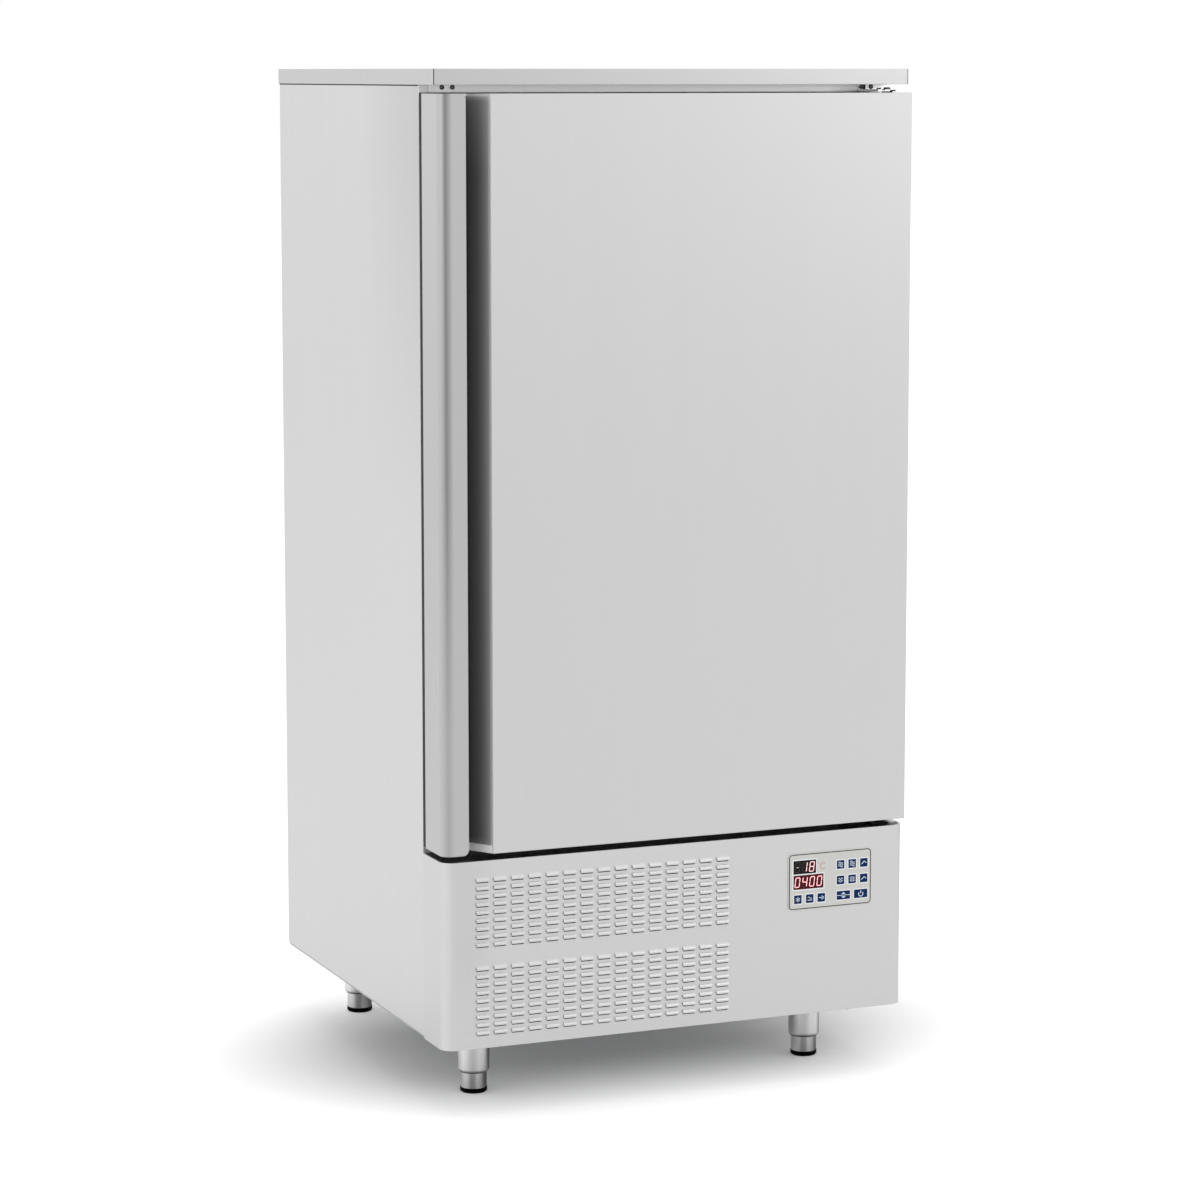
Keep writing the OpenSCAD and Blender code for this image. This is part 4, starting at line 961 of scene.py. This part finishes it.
SNOWFLAKE = [spoke(angle, 4.2, 1.1) for angle in (30, 90, 150)]
TRAY = [bar(-4, -2.5, 4, -2.5, 1.2), *wave(-3.5, 3.5, 1.5, 1.2, 1.0, 1)]
DROP = [bar(-4, 0, 1, 0, 1.3), bar(0.5, 3, 4, 0, 1.2), bar(0.5, -3, 4, 0, 1.2)]
SWIRL = [quad for z in (3, 0, -3) for quad in wave(-4, 4, z, 1.2, 1.1, 1)]
UP_ARROW = [bar(-4, -2.2, 0.6, 2.6, 1.3), bar(0, 2.6, 4, -0.6, 1.3)]
HEAT = [quad for z in (1.8, -2) for quad in wave(-3.6, 3.6, z, 1.4, 1.1, 1.5)]
GRID = [bar(-4, z, 4, z, 1.0) for z in (-3, 0, 3)] + [bar(x, -3, x, 3, 1.0) for x in (-3, 3)]
ARROWS = [[(-4.2, 1.9), (4.2, 1.9), (0, 4.8)], [(-4.2, -1.9), (0, -4.8), (4.2, -1.9)],
          bar(-11.7, 0, 11.7, 0, 0.9)]
POWER = [*arc(0, -0.4, 3.9, 1.3, 140, 400), bar(0, 0.4, 0, 4.9, 1.3)]
SIGNS = {
    "key_left_1": SNOWFLAKE, "key_left_2": TRAY, "key_left_3": DROP,
    "key_top_1": SWIRL, "key_top_2": SWIRL, "key_top_3": UP_ARROW,
    "key_mid_1": HEAT, "key_mid_2": GRID, "key_mid_3": UP_ARROW,
    "key_arrows": ARROWS, "key_power": POWER,
}
for key, sign in SIGNS.items():
    centre, (key_half_x, key_half_z), key_face = front_view(key)
    print_piece(key + "_sign", sign, centre, key_face, PRINT, sign_ink, key)
    field(key, centre, key_half_x - KEY_FLANGE, key_half_z - KEY_FLANGE)

# Dark bead under the worktop's overhang, along both side panels: painted shade for the shadow line
# there


def shadow_bead(name, side):
    """Swept fillet section in the corner between a side panel and the worktop, dark as painted
    shade.
    """
    low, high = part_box("side_panel_right")
    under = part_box("worktop")[0].z
    out, drop, steps = 1.1, 1.9, 6
    section = [(0, 0), (out, 0)]
    for i in range(1, steps):
        t = math.radians(90 * i / steps)
        section.append((out * (1 - math.sin(t)), -drop * (1 - math.cos(t))))
    section.append((0, -drop))
    rings = [[(side * (high.x + x * MM), y, under + z * MM) for x, z in section]
             for y in (low.y, high.y)]
    make_piece(name, [rings], seal_and_shade_look, "cabinet")


shadow_bead("shadow_bead_left", -1)
shadow_bead("shadow_bead_right", 1)

# Black lip in the gap between the door's rear edge and the front frame, painted shade that keeps
# that gap as dark as its shadow


def gap_shade_lip():
    """Lip up the handle side and along the door's top and bottom, short of the hinge brackets,
    standing a little above the door's top as a painted shadow line.
    """
    skin_low, skin_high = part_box("door_skin")
    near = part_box("door_gasket")[0].y + 0.05 * MM
    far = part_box("front_frame")[0].y - 0.6 * MM
    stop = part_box("hinge_bracket_top")[0].x - 6 * MM
    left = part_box("door_handle")[0].x + 0.3 * MM
    low, top = skin_low.z + 0.3 * MM, skin_high.z + 1.2 * MM
    path = [((stop, low), (0, 1)), ((left, low), (1, 1)), ((left, top), (1, -1)),
            ((stop, top), (0, -1))]
    thick, edge = 5 * MM, 0.8 * MM
    section = [(edge, near), (0, near + edge), (0, far - edge), (edge, far), (thick, far),
               (thick, near)]
    rings = [[(x + dx * a, y, z + dz * a) for a, y in section] for (x, z), (dx, dz) in path]
    make_piece("door_gap_shade_lip", [rings], seal_and_shade_look, "door")


gap_shade_lip()

# Heads of the hinge pin and of the screw beside it, on the top bracket's plate

PLATE_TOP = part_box("door_skin")[1].z + 5 * MM


def bolt_head(name, x, y, radius, height):
    """Turned head with a chamfered rim and a socket."""
    steps = 28
    profile = [(radius, 0), (radius, height * 0.6), (radius * 0.8, height),
               (radius * 0.42, height), (radius * 0.36, height * 0.5)]
    turns = [(math.cos(2 * math.pi * k / steps), math.sin(2 * math.pi * k / steps))
             for k in range(steps)]
    rings = [[(x + r * c, y + r * s, PLATE_TOP + up) for c, s in turns] for r, up in profile]
    make_piece(name, [rings], screw_look, "cabinet")


bolt_head("hinge_pin_head", HINGE_X, -345.5 * MM, 5.5 * MM, 3.2 * MM)
bolt_head("hinge_plate_screw", HINGE_X - 18 * MM, -353 * MM, 3.6 * MM, 2.4 * MM)
